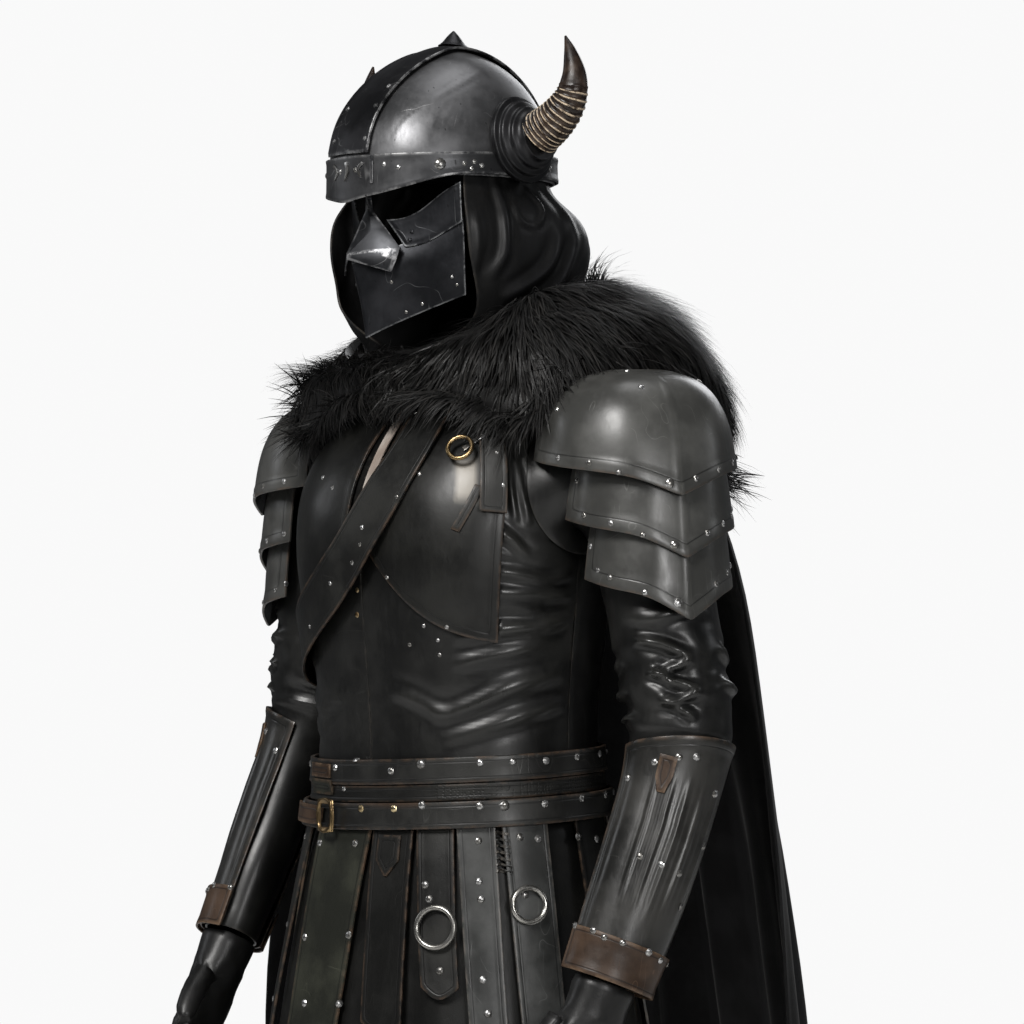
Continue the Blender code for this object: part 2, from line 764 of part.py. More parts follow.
def make_breast_plates():
    """Two shaped plates over the chest, fuller in the middle."""
    grid = []
    for share in steps(0, 1, 7):
        row = []
        for angle in steps(BREAST_INNER_ANGLE, BREAST_OUTER_ANGLE, 6):
            height = BREAST_TOP + (breast_foot(angle) - BREAST_TOP) * share
            along = (angle - BREAST_INNER_ANGLE) / (BREAST_OUTER_ANGLE - BREAST_INNER_ANGLE)
            swell = 0.006 * math.sin(math.pi * along) * math.sin(math.pi * share)
            row.append(torso.point(angle, height, BREAST_OUT + swell))
        grid.append(row)
    add_wall("breast_plate_l", grid, PLATE, "plate_leather")
    add_wall("breast_plate_r", mirrored(grid), PLATE, "plate_leather")


BALDRIC_HIGH = BREAST_OUT + 0.0075 + STRAP
BALDRIC_FLANK = LAYER + STRAP + 0.0075
BALDRIC_LOW = LAYER + STRAP + 0.0012
BALDRIC_PATH = (
    LoopRow(0.00, 31, 0.000, BALDRIC_HIGH),
    LoopRow(0.10, 25, -0.054, BALDRIC_HIGH),
    LoopRow(0.20, 13, -0.110, BALDRIC_HIGH),
    LoopRow(0.30, -5, -0.168, BALDRIC_HIGH),
    LoopRow(0.40, -31, -0.221, BALDRIC_HIGH),
    LoopRow(0.50, -64, -0.272, BALDRIC_FLANK),
    LoopRow(0.60, -98, -0.286, BALDRIC_LOW),
    LoopRow(0.70, -130, -0.246, BALDRIC_LOW),
    LoopRow(0.80, -160, -0.176, BALDRIC_LOW),
    LoopRow(0.90, -186, -0.100, BALDRIC_LOW),
    LoopRow(1.00, -206, -0.030, BALDRIC_LOW),
)
BALDRIC_HALF_WIDTH = 0.027


def make_baldric():
    """One long strap from the left shoulder, round the right flank and up the back again."""
    grid = strap_grid(torso, BALDRIC_PATH, BALDRIC_HALF_WIDTH, 30)
    add_wall("baldric", grid, STRAP, "strap_leather")


SHOULDER_STRAP_OUT = BREAST_OUT + 0.0075 + STRAP
HOOK_RADIUS = 0.013
HOOK_WIRE = 0.0024


def make_shoulder_strap():
    path = (LoopRow(0, 56, 0.000, SHOULDER_STRAP_OUT), LoopRow(1, 56, -0.118, SHOULDER_STRAP_OUT))
    grid = strap_grid(torso, path, 0.014, 7)
    add_wall("shoulder_strap", grid, STRAP, "strap_leather")


def make_strap_hook():
    """The round hook between the baldric and the shoulder strap."""
    angle, height = math.radians(44), -0.058
    centre = torso.point(angle, height, SHOULDER_STRAP_OUT + 0.004)
    outward = (centre - torso.point(angle, height)).normalized()
    level = Vector((0, 0, 1)).cross(outward).normalized()
    add_ring("strap_hook", centre, level, outward.cross(level), HOOK_RADIUS, HOOK_WIRE, "brass")


# ---------------------------------------------------------------- arms
# 'wide' lies across the arm from front-inside to back-outside, 'thin' square to it.
LEFT_ARM_ROWS = (
    SweepRow(0.00, 0.186, 0.006, -0.078, 0.064, 0.062),
    SweepRow(0.08, 0.214, 0.008, -0.086, 0.059, 0.058),
    SweepRow(0.17, 0.243, 0.010, -0.125, 0.057, 0.054),
    SweepRow(0.28, 0.262, 0.013, -0.180, 0.057, 0.054),
    SweepRow(0.40, 0.276, 0.016, -0.240, 0.056, 0.052),
    SweepRow(0.50, 0.286, 0.018, -0.292, 0.057, 0.052),
    SweepRow(0.58, 0.293, 0.018, -0.330, 0.056, 0.050),
    SweepRow(0.66, 0.295, 0.009, -0.372, 0.0485, 0.0410),
    SweepRow(0.77, 0.292, -0.013, -0.435, 0.0465, 0.0375),
    SweepRow(0.88, 0.285, -0.042, -0.510, 0.0450, 0.0345),
    SweepRow(1.00, 0.274, -0.078, -0.600, 0.0400, 0.0300),
)
ELBOW = 0.58
BRACER_START = 0.645
BRACER_END = 0.985
GATHER_CENTRE = 0.51
GATHER_REACH = 0.12
RIGHT_ARM_IN = 0.006
RIGHT_ARM_BACK = 0.018
RIGHT_WRIST_OUT = 0.030
RIGHT_WRIST_FORWARD = 0.026


def right_arm_rows():
    """The right arm as mirrored rows: set back, its forearm turned a little further out."""
    rows = []
    for row in LEFT_ARM_ROWS:
        past = (max(row.along - ELBOW, 0) / (1 - ELBOW)) ** 1.4
        x = row.x - RIGHT_ARM_IN + RIGHT_WRIST_OUT * past
        y = row.y + RIGHT_ARM_BACK - RIGHT_WRIST_FORWARD * past
        rows.append(row._replace(x=x, y=y))
    return tuple(rows)


ARM_ROWS = {"l": LEFT_ARM_ROWS, "r": right_arm_rows()}
ARM_LENGTH = 0.60


def arm_frame(rows, along):
    """The row, down, side and fore directions at a share of the arm's length."""
    low, high = smooth_row(rows, max(along - 0.02, 0)), smooth_row(rows, min(along + 0.02, 1))
    down = Vector((high.x - low.x, high.y - low.y, high.z - low.z)).normalized()
    side = down.cross(Vector((0, 1, 0))).normalized()
    return smooth_row(rows, along), down, side, down.cross(side).normalized()


def arm_point(rows, along, turn, out=0.0):
    """A point round the arm; turn runs from the front to the outside. Past the end it runs straight."""
    inside = min(along, 1.0)
    here, down, side, fore = arm_frame(rows, inside)
    quarter = turn + math.pi / 4
    wide, thin = math.cos(quarter), math.sin(quarter)
    half = 1 / math.hypot(wide / (here.wide + out), thin / (here.thin + out))
    centre = Vector((here.x, here.y, here.z)) + down * (along - inside) * ARM_LENGTH
    return centre + (fore * math.cos(turn) + side * math.sin(turn)) * half


def arm_side(grid, label):
    return grid if label == "l" else mirrored(grid)


def armhole_ring(turn):
    """Where the sleeve head is sewn: just outside the armhole's edge, lapped over the panels."""
    middle, reach = (ARMHOLE_TOP + ARMHOLE_FOOT) / 2, (ARMHOLE_TOP - ARMHOLE_FOOT) / 2
    angle = math.pi / 2 - (ARMHOLE_HALF_ANGLE + math.radians(3.5)) * math.cos(turn)
    return torso.point(angle, middle + (reach + 0.004) * math.sin(turn), LAYER + LEATHER)


SLEEVE_STATIONS = [0.0, 0.05, 0.10, 0.16, 0.26] + steps(0.38, 0.64, 7) + [0.76, 0.88, 0.985]
SLEEVE_SIDES = 14


def make_sleeves():
    """Each sleeve runs from the armhole to the wrist and gathers in soft rings above the bracer."""
    for label, rows in ARM_ROWS.items():
        grid = []
        for along in SLEEVE_STATIONS:
            gather = max(0.0, 1 - abs(along - GATHER_CENTRE) / GATHER_REACH)
            share = min(along / 0.13, 1.0)
            line = []
            for k in range(SLEEVE_SIDES):
                turn = 2 * math.pi * k / SLEEVE_SIDES
                swell = 0.0034 * gather * math.sin(along * 95 + 1.4 * math.sin(turn))
                place = arm_point(rows, along, turn, swell)
                line.append(armhole_ring(turn).lerp(place, share * share * (3 - 2 * share)))
            grid.append(line)
        add_wall(f"sleeve_{label}", arm_side(grid, label), LEATHER, "jerkin_leather", closed=True)


# ---------------------------------------------------------------- pauldrons
KEEL_ANGLE = math.radians(69)
LameRow = namedtuple("LameRow", "share radius height")
LameShape = namedtuple("LameShape", "centre_x centre_y fore_sweep back_sweep edge_drop rows")
LAMES = (
    LameShape(
        0.236, 0.011, 107, 96, 0.036,
        (
            LameRow(0.00, 0.030, 0.0310),
            LameRow(0.25, 0.066, 0.0215),
            LameRow(0.50, 0.088, 0.0000),
            LameRow(0.75, 0.100, -0.0300),
            LameRow(1.00, 0.105, -0.0620),
        ),
    ),
    LameShape(
        0.251, 0.013, 94, 92, 0.038,
        (
            LameRow(0.00, 0.0770, -0.0480),
            LameRow(0.50, 0.0850, -0.0880),
            LameRow(1.00, 0.0895, -0.1230),
        ),
    ),
    LameShape(
        0.262, 0.013, 90, 90, 0.040,
        (
            LameRow(0.00, 0.0700, -0.1080),
            LameRow(0.50, 0.0755, -0.1480),
            LameRow(1.00, 0.0795, -0.1840),
        ),
    ),
)
LAME_TURNS = (-1, -0.8, -0.6, -0.4, -0.22, 0, 0.22, 0.4, 0.6, 0.8, 1)
RIGHT_FORE_TRIM = 16     # degrees the right plates stop short of the left ones in front
RIGHT_PAULDRON_IN = 0.014
RIGHT_PAULDRON_BACK = 0.017
RIGHT_PAULDRON_DOWN = 0.021


def lame_point(lame, turn, share, out=0.0):
    """A point of one plate; turn is measured round the arm from the keel line."""
    row = smooth_row(lame.rows, share)
    keel = max(0.0, 1 - abs(turn) / math.radians(30))
    radius = row.radius + 0.004 * keel * share + out
    angle = KEEL_ANGLE + turn
    sweep = lame.fore_sweep if turn < 0 else lame.back_sweep
    slant = 0.62 * (1 - abs(turn) / math.radians(sweep)) + 0.38 * keel
    return Vector(
        (
            lame.centre_x + radius * math.sin(angle),
            lame.centre_y - radius * math.cos(angle),
            row.height - lame.edge_drop * share**1.5 * slant,
        )
    )


def lame_grid(lame, rows, trim):
    """One plate as a grid, its front end stopped short by an angle."""
    fore, back = math.radians(lame.fore_sweep - trim), math.radians(lame.back_sweep)
    turns = [t * (fore if t < 0 else back) for t in LAME_TURNS]
    return [[lame_point(lame, t, s) for t in turns] for s in steps(0, 1, rows)]


def make_pauldrons():
    """Three lapping plates a side, each with a keel that ends in a point."""
    shift = Vector((RIGHT_PAULDRON_IN, RIGHT_PAULDRON_BACK, -RIGHT_PAULDRON_DOWN))
    for number, lame in enumerate(LAMES, 1):
        rows = 5 if number == 1 else 2
        left = lame_grid(lame, rows, 0)
        right = [[p + shift for p in row] for row in mirrored(lame_grid(lame, rows, RIGHT_FORE_TRIM))]
        add_wall(f"pauldron_{number}_l", left, PLATE, "plate_leather")
        add_wall(f"pauldron_{number}_r", right, PLATE, "plate_leather")


# ---------------------------------------------------------------- bracers, cuffs and gloves
BRACER_FROM = math.radians(-32)
BRACER_TO = math.radians(208)
BRACER_OUT = LAYER + LEATHER + 0.0018
BRACER_PEAK = 0.030
CUFF_OUT = BRACER_OUT + LAYER + 0.0025


def plate_on_arm(rows, start, end, out, bands, columns, peak=0.0):
    """A plate bent round the outside of the arm, open on the inside; peak lifts its top edge."""
    middle = (BRACER_FROM + BRACER_TO) / 2
    grid = []
    for share in steps(0, 1, bands):
        line = []
        for turn in steps(BRACER_FROM, BRACER_TO, columns):
            lift = peak * math.cos((turn - middle) * 0.75) * (1 - share) ** 2
            line.append(arm_point(rows, start + (end - start) * share - lift, turn, out))
        grid.append(line)
    return grid


def make_bracers():
    for label, rows in ARM_ROWS.items():
        bracer = plate_on_arm(rows, BRACER_START, BRACER_END, BRACER_OUT, 5, 12, BRACER_PEAK)
        cuff = plate_on_arm(rows, BRACER_END - 0.050, BRACER_END + 0.004, CUFF_OUT, 1, 12)
        add_wall(f"vambrace_{label}", arm_side(bracer, label), LEATHER, "plate_leather")
        add_wall(f"wrist_cuff_{label}", arm_side(cuff, label), LEATHER, "brown_leather")


PalmRow = namedtuple("PalmRow", "down half_width half_thick")
PALM_ROWS = (
    PalmRow(-0.020, 0.033, 0.030),
    PalmRow(0.015, 0.034, 0.027),
    PalmRow(0.045, 0.041, 0.023),
    PalmRow(0.080, 0.044, 0.019),
    PalmRow(0.104, 0.043, 0.015),
)
FingerRow = namedtuple("FingerRow", "name root_width root_down length curl radius")
FINGERS = (
    FingerRow("first", -0.0315, 0.096, 0.070, 0.75, 0.0112),
    FingerRow("second", -0.0105, 0.098, 0.076, 0.85, 0.0114),
    FingerRow("third", 0.0105, 0.096, 0.072, 0.95, 0.0110),
    FingerRow("fourth", 0.0310, 0.090, 0.058, 1.05, 0.0100),
)
THUMB_ROOT = (-0.034, 0.030)
THUMB_LENGTH = 0.068
THUMB_RADIUS = 0.0130
HAND_TURN = math.radians(-22)


def finger_rings(root, direction, bend_to, length, radius, curl, count=6):
    """Rings of a finger that bends evenly towards 'bend_to'."""
    rings = []
    place = root.copy()
    parts = 3
    for i in range(parts + 1):
        turn = curl * i / parts
        heading = direction * math.cos(turn) + bend_to * math.sin(turn)
        across = direction.cross(bend_to).normalized()
        flat = heading.cross(across).normalized()
        size = radius * (1.0 if i < parts else 0.55)
        rings.append(ring_about(place, across, flat, size, size, count))
        place = place + heading * length / parts
    return rings


def hidden_solid(name, rings):
    """A shape used only to build another; it isn't part of the suit."""
    made = add_loft(name, rings, "glove_leather")
    made.hide_render = True
    made.display_type = "WIRE"
    return made


def glove_parts(prefix, shrink, palm_rows):
    """The palm, fingers and thumb as plain solids, each made smaller by 'shrink'."""
    down, wide, palmward = Vector((0, 0, -1)), Vector((0, 1, 0)), Vector((-1, 0, 0))
    palm_rings = []
    for row in palm_rows:
        centre = down * row.down
        half_width, half_thick = row.half_width - shrink, row.half_thick - shrink
        palm_rings.append(ring_about(centre, wide, palmward, half_width, half_thick, 10))
    parts = [hidden_solid(prefix + "palm", palm_rings)]
    for finger in FINGERS:
        root = wide * finger.root_width + down * (finger.root_down - 0.012)
        length, radius = finger.length - shrink, finger.radius - shrink
        rings = finger_rings(root, down, palmward, length, radius, finger.curl)
        parts.append(hidden_solid(prefix + finger.name, rings))
    heading = (down * 0.93 + wide * -0.36).normalized()
    root = wide * THUMB_ROOT[0] + down * THUMB_ROOT[1] + palmward * 0.004
    rings = finger_rings(root, heading, palmward, THUMB_LENGTH - shrink, THUMB_RADIUS - shrink, 0.45)
    parts.append(hidden_solid(prefix + "thumb", rings))
    return parts


def boolean(target, other, operation):
    made = target.modifiers.new(other.name, "BOOLEAN")
    made.operation = operation
    made.solver = "EXACT"
    made.object = other


def make_glove(label):
    """Outer hand joined from its parts, with a smaller hand cut out of it from the wrist."""
    name = f"glove_{label}"
    outer_parts = glove_parts(name + "_outer_", 0.0, PALM_ROWS)
    inner_palm = (PalmRow(-0.040, 0.033, 0.030),) + PALM_ROWS[1:-1] + (PalmRow(0.098, 0.041, 0.014),)
    inner_parts = glove_parts(name + "_inner_", LEATHER, inner_palm)
    glove = outer_parts[0]
    glove.name = name
    glove.hide_render = False
    glove.display_type = "TEXTURED"
    for part in outer_parts[1:]:
        boolean(glove, part, "UNION")
    for part in inner_parts:
        boolean(glove, part, "DIFFERENCE")
    here, down, across, fore = arm_frame(ARM_ROWS[label], 1.0)
    wrist = Vector((here.x, here.y, here.z)) + down * 0.012
    lean = Matrix((across, -fore, -down)).transposed()
    place = Matrix.Translation(wrist) @ lean.to_4x4() @ Matrix.Rotation(HAND_TURN, 4, "Z")
    if label == "r":
        place = Matrix.Scale(-1, 4, (1, 0, 0)) @ place
    for part in outer_parts + inner_parts:
        part.data.transform(place)
        if place.determinant() < 0:
            part.data.flip_normals()


def make_gloves():
    make_glove("l")
    make_glove("r")


# ---------------------------------------------------------------- belt
BeltRow = namedtuple("BeltRow", "name top foot out thick")
BELT_ROWS = (
    BeltRow("belt_upper", -0.3710, -0.3975, 0.0082, 0.0045),
    BeltRow("belt_middle", -0.3985, -0.4160, 0.0058, 0.0025),
    BeltRow("belt_lower", -0.4170, -0.4450, 0.0122, 0.0045),
)
BUCKLE_ANGLE = math.radians(-20)
BUCKLE_HALF_HEIGHT = 0.0135
BUCKLE_HALF_WIDTH = 0.0105
BUCKLE_BAR = 0.0022


def belt_tilt(angle):
    """The belt hangs a little lower towards the front of the right hip."""
    return -0.0085 * math.cos(angle + math.radians(60))


def make_belts():
    for belt in BELT_ROWS:
        grid = []
        for height in (belt.top, belt.foot):
            turns = steps(0, 2 * math.pi, 36)[:-1]
            grid.append([torso.point(turn, height + belt_tilt(turn), belt.out) for turn in turns])
        add_wall(belt.name, grid, belt.thick, "strap_leather", closed=True)


def belt_place(angle, height, out):
    return torso.point(angle, height + belt_tilt(angle), out)


def make_buckle():
    """A square brass frame round the strap's end, on the lower belt."""
    lower = BELT_ROWS[2]
    height = (lower.top + lower.foot) / 2
    centre = belt_place(BUCKLE_ANGLE, height, lower.out + 0.0075)
    outward = (centre - belt_place(BUCKLE_ANGLE, height, 0)).normalized()
    outward.z = 0
    outward.normalize()
    level = Vector((0, 0, 1)).cross(outward).normalized()
    upright = Vector((0, 0, 1))
    rings = []
    corners = ((1, 1), (-1, 1), (-1, -1), (1, -1))
    for a, b in corners:
        corner = centre + level * BUCKLE_HALF_WIDTH * a + upright * BUCKLE_HALF_HEIGHT * b
        spoke = (level * a + upright * b).normalized()
        rings.append(ring_about(corner, spoke, outward, BUCKLE_BAR * 1.3, BUCKLE_BAR, 6))
    add_loft("belt_buckle", rings, "brass", round_path=True)


def make_strap_end():
    """The rounded end of the lower belt, lapped over it past the buckle."""
    lower = BELT_ROWS[2]
    height = (lower.top + lower.foot) / 2
    half_height = 0.0105
    grid = []
    for share in (1, 0.5, 0, -0.5, -1):
        row = []
        for along in steps(0, 1, 5):
            round_end = 0.75 if along > 0.95 else 1.0
            angle = math.radians(-56 + 31 * along)
            row.append(belt_place(angle, height + half_height * share * round_end, lower.out + LAYER + STRAP))
        grid.append(row)
    add_wall("belt_strap_end", grid, STRAP, "brown_leather")


# ---------------------------------------------------------------- skirt
UNDERSKIRT_TOP = -0.4435
UNDERSKIRT_IN = 0.010   # how far the underskirt lies inside the straps
SKIRT_HEM = -0.790
STRAP_TOP = -0.4320     # tucked up behind the lower belt
PLEATS = 18


def pleat_ripple(angle, height):
    depth = min(max((-0.455 - height) / 0.25, 0), 1)
    return 0.0045 * depth * math.cos(PLEATS * angle)


def make_underskirt():
    """The leather skirt under the straps, let out in shallow pleats."""
    rows = []
    for row in SKIRT_ROWS:
        half_width, front, back = (size - UNDERSKIRT_IN for size in row[1:4])
        rows.append(row._replace(half_width=half_width, front=front, back=back))
    form = Form(rows, pleat_ripple)
    turns = steps(0, 2 * math.pi, 2 * PLEATS)[:-1]
    grid = [[form.point(turn, UNDERSKIRT_TOP + belt_tilt(turn)) for turn in turns]]
    for height in (-0.500, -0.580, -0.680, SKIRT_HEM):
        grid.append([form.point(turn, height) for turn in turns])
    add_wall("underskirt", grid, LEATHER, "jerkin_leather", closed=True)


StrapShape = namedtuple("StrapShape", "name angle width foot lean point")
SKIRT_STRAPS = (
    StrapShape("skirt_strap_1", -13.5, 0.088, -0.770, -1.0, 0.000),
    StrapShape("skirt_strap_2", 15.8, 0.052, -0.655, 3.0, 0.012),
    StrapShape("skirt_ring_strap_1", 35.3, 0.041, -0.615, 4.0, 0.012),
    StrapShape("skirt_strap_3", 51, 0.040, -0.770, 5.0, 0.000),
    StrapShape("skirt_ring_strap_2", 68.8, 0.051, -0.770, 3.0, 0.000),
    StrapShape("skirt_strap_4", 100, 0.060, -0.770, 0.0, 0.000),
    StrapShape("skirt_strap_5", -46, 0.034, -0.770, -2.0, 0.000),
    StrapShape("skirt_strap_6", -73, 0.050, -0.770, -2.0, 0.000),
    StrapShape("skirt_strap_7", -105, 0.060, -0.770, 0.0, 0.000),
    StrapShape("skirt_strap_8", 135, 0.066, -0.770, 0.0, 0.000),
    StrapShape("skirt_strap_9", 180, 0.066, -0.770, 0.0, 0.000),
    StrapShape("skirt_strap_10", -140, 0.066, -0.770, 0.0, 0.000),
)


def make_skirt_straps():
    """Loose straps that hang from under the belt, each following the skirt's flare."""
    for strap in SKIRT_STRAPS:
        across = 3 if strap.width > 0.05 else 2
        grid = []
        for share in (0, 0.06, 0.25, 0.5, 0.75, 1):
            height = STRAP_TOP + (strap.foot - STRAP_TOP) * share
            centre = skirt.point(math.radians(strap.angle + strap.lean * share), height)
            row = []
            for part in steps(-1, 1, across):
                lower = strap.point * (abs(part) if share == 1 else 0)
                radius = math.hypot(centre.x, centre.y + 0.011)
                turn = strap.width / 2 * part / radius
                angle = math.radians(strap.angle + strap.lean * share) + turn
                height_here = height + lower + belt_tilt(angle) * (1 - share)
                row.append(skirt.point(angle, height_here, 0.0))
            grid.append(row)
        add_wall(strap.name, grid, STRAP, "strap_leather")


RING_WIRE = 0.0030
SkirtRing = namedtuple("SkirtRing", "name angle height radius")
SKIRT_RINGS = (
    SkirtRing("skirt_ring_1", 38.0, -0.5430, 0.0205),
    SkirtRing("skirt_ring_2", 67.6, -0.5200, 0.0178),
)


def make_skirt_rings():
    for ring in SKIRT_RINGS:
        angle = math.radians(ring.angle)
        centre = skirt.point(angle, ring.height, 0.0048)
        outward = (skirt.point(angle, ring.height, 0.02) - centre).normalized()
        level = Vector((0, 0, 1)).cross(outward).normalized()
        add_ring(ring.name, centre, level, outward.cross(level), ring.radius, RING_WIRE, "ring_steel")


# ---------------------------------------------------------------- fur mantle
FurRow = namedtuple(
    "FurRow",
    "angle neck_r neck_z crest_r crest_z mid_r mid_z reach_r reach_z hem_z thick under_r under_z",
)
FUR_ROWS = (
    FurRow(4, 0.104, 0.044, 0.110, 0.059, 0.121, 0.056, 0.129, 0.042, 0.004, 0.020, 0.107, 0.034),
    FurRow(20, 0.106, 0.046, 0.114, 0.062, 0.127, 0.060, 0.138, 0.046, 0.006, 0.022, 0.112, 0.038),
    FurRow(40, 0.112, 0.052, 0.122, 0.080, 0.140, 0.076, 0.157, 0.052, 0.006, 0.024, 0.124, 0.040),
    FurRow(54, 0.119, 0.056, 0.129, 0.098, 0.152, 0.090, 0.178, 0.046, -0.008, 0.025, 0.140, 0.030),
    FurRow(64, 0.122, 0.058, 0.134, 0.113, 0.164, 0.098, 0.206, 0.042, -0.026, 0.025, 0.152, 0.040),
    FurRow(73, 0.122, 0.060, 0.136, 0.125, 0.172, 0.104, 0.218, 0.050, 0.012, 0.026, 0.162, 0.046),
    FurRow(80, 0.122, 0.061, 0.137, 0.130, 0.180, 0.108, 0.228, 0.056, 0.034, 0.028, 0.170, 0.046),
    FurRow(90, 0.122, 0.062, 0.139, 0.135, 0.186, 0.112, 0.236, 0.062, 0.037, 0.032, 0.176, 0.046),
    FurRow(110, 0.125, 0.064, 0.144, 0.141, 0.200, 0.118, 0.262, 0.062, 0.022, 0.030, 0.196, 0.046),
    FurRow(124, 0.128, 0.064, 0.148, 0.144, 0.214, 0.114, 0.282, 0.024, -0.064, 0.030, 0.208, 0.042),
    FurRow(138, 0.130, 0.064, 0.151, 0.146, 0.220, 0.108, 0.288, -0.006, -0.090, 0.030, 0.208, 0.038),
    FurRow(160, 0.132, 0.064, 0.153, 0.146, 0.208, 0.103, 0.266, -0.010, -0.104, 0.030, 0.194, 0.038),
    FurRow(180, 0.133, 0.064, 0.155, 0.146, 0.202, 0.100, 0.256, -0.010, -0.108, 0.030, 0.188, 0.038),
)
RightDrop = namedtuple("RightDrop", "angle crest mid reach hem")
RIGHT_DROPS = (
    RightDrop(4, 0.000, 0.000, 0.000, 0.000),
    RightDrop(20, 0.010, 0.010, 0.004, 0.000),
    RightDrop(40, 0.022, 0.028, 0.014, 0.008),
    RightDrop(64, 0.039, 0.050, 0.022, 0.014),
    RightDrop(90, 0.039, 0.048, 0.020, 0.014),
    RightDrop(110, 0.027, 0.030, 0.010, 0.008),
    RightDrop(138, 0.000, 0.000, 0.000, 0.000),
    RightDrop(180, 0.000, 0.000, 0.000, 0.000),
)


def fur_section(degrees, right_side):
    """The closed outline of the fur at one angle round the neck; it lies lower on the right."""
    row = smooth_row(FUR_ROWS, degrees)
    if right_side:
        drop = smooth_row(RIGHT_DROPS, degrees)
        row = row._replace(
            neck_z=row.neck_z - drop.hem,
            crest_z=row.crest_z - drop.crest,
            mid_z=row.mid_z - drop.mid,
            reach_z=row.reach_z - drop.reach,
            hem_z=row.hem_z - drop.hem,
            under_z=row.under_z - drop.hem,
        )
    inner_hem = row.reach_r - row.thick
    return (
        (row.neck_r, row.neck_z),
        (row.neck_r, max(row.crest_z - 0.020, row.neck_z + 0.003)),
        ((row.neck_r + row.crest_r) / 2, max(row.crest_z - 0.003, row.neck_z + 0.006)),
        (row.crest_r, row.crest_z),
        ((row.crest_r + row.mid_r) / 2, (row.crest_z + row.mid_z) / 2 + 0.004),
        (row.mid_r, row.mid_z),
        ((row.mid_r + row.reach_r) / 2 + 0.006, (row.mid_z + row.reach_z) / 2 + 0.008),
        (row.reach_r, row.reach_z),
        (row.reach_r - 0.003, (row.reach_z + row.hem_z) / 2),
        (row.reach_r - 0.008, row.hem_z),
        (inner_hem, row.hem_z),
        (inner_hem, (row.hem_z * 1.4 + row.under_z * 0.6) / 2),
        (row.under_r, row.under_z),
    )


def make_fur_mantle():
    """A thick collar of fur, open at the throat, over the shoulders and down the back."""
    rings = []
    for degrees in steps(4, 356, 36):
        angle = math.radians(degrees)
        section = fur_section(min(degrees, 360 - degrees), degrees > 180)
        rings.append([Vector((r * math.sin(angle), -r * math.cos(angle), z)) for r, z in section])
    add_loft("fur_mantle", rings, "fur")


# ---------------------------------------------------------------- cape
CAPE_HEM = -1.140
EdgeRow = namedtuple("EdgeRow", "height left right")
CAPE_EDGES = (
    EdgeRow(-1.150, 112, 262),
    EdgeRow(-0.620, 112, 267),
    EdgeRow(-0.480, 112, 264),
    EdgeRow(-0.340, 112, 251),
    EdgeRow(-0.020, 112, 248),
)
CAPE_FLARE = 0.068
FoldRow = namedtuple("FoldRow", "angle depth width")
CAPE_FOLDS = (
    FoldRow(117, 0.016, 8),
    FoldRow(133, 0.026, 10),
    FoldRow(151, 0.024, 11),
    FoldRow(170, 0.028, 12),
    FoldRow(190, 0.024, 11),
    FoldRow(209, 0.028, 12),
    FoldRow(228, 0.024, 10),
    FoldRow(243, 0.018, 8),
)


def cape_fold(angle, height):
    """Deep folds that grow from nothing at the shoulders to their full depth at the hem."""
    fall = min(max((-0.05 - height) / 0.75, 0), 1)
    degrees = math.degrees(angle) % 360
    depth = 0.0
    for fold in CAPE_FOLDS:
        depth += fold.depth * math.exp(-(((degrees - fold.angle) / fold.width) ** 2) * 2.2)
    spread = min(max((degrees - 222) / 40, 0), 1) * min(max((-0.30 - height) / 0.28, 0), 1)
    return (depth - 0.012) * fall + CAPE_FLARE * spread * spread * (3 - 2 * spread)


cape_form = Form(CAPE_ROWS, cape_fold)


def make_cape():
    heights = (-0.022, -0.100, -0.200, -0.330, -0.480, -0.640, -0.870, CAPE_HEM)

    def angles(height):
        edges = smooth_row(CAPE_EDGES, height)
        return steps(math.radians(edges.left), math.radians(edges.right), 34)

    add_wall("cape", form_grid(cape_form, heights, angles, 0.0), CLOAK, "cape_wool")


# ---------------------------------------------------------------- the whole suit
def build():
    clear_scene()
    make_materials()
    head = make_head()
    make_bowl(head)
    make_brow_band(head)
    make_comb(head)
    make_finial(head)
    for label, side in (("l", 1), ("r", -1)):
        make_horn_boss(f"horn_boss_{label}", side, head)
        make_horn(f"horn_{label}", side, head)
        make_cheek_guard(f"cheek_guard_{label}", side, head)
    make_lower_mask(head)
    make_nose(head)
    make_hood()
    make_jerkin()
    make_neck_strip()
    make_breast_plates()
    make_baldric()
    make_shoulder_strap()
    make_strap_hook()
    make_sleeves()
    make_pauldrons()
    make_bracers()
    make_gloves()
    make_belts()
    make_buckle()
    make_strap_end()
    make_underskirt()
    make_skirt_straps()
    make_skirt_rings()
    make_fur_mantle()
    make_cape()


build()
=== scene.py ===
# %% [markdown]
# # A suit of leather armour
#
# The suit stands as it is worn, with nobody in it: a steel helmet with horns, a mask, a
# leather hood, a fur mantle over a long cape, a black leather jerkin under shaped plates,
# bracers, gloves, a broad belt and a skirt of hanging straps. This lesson dresses plain
# solids that already have the right size and place. Each one is a wall of the real
# thickness, so most steps take the outer face of a wall, make it smooth, work the folds,
# ribs and beads into it, and then give it its thickness again. It could all be modelled
# afresh, but then nothing would lie where the solids lie, so the solids are the form here.

import math
from collections import namedtuple

import bmesh
import bpy
import numpy as np
from mathutils import Matrix, Vector, kdtree, noise
from mathutils.bvhtree import BVHTree


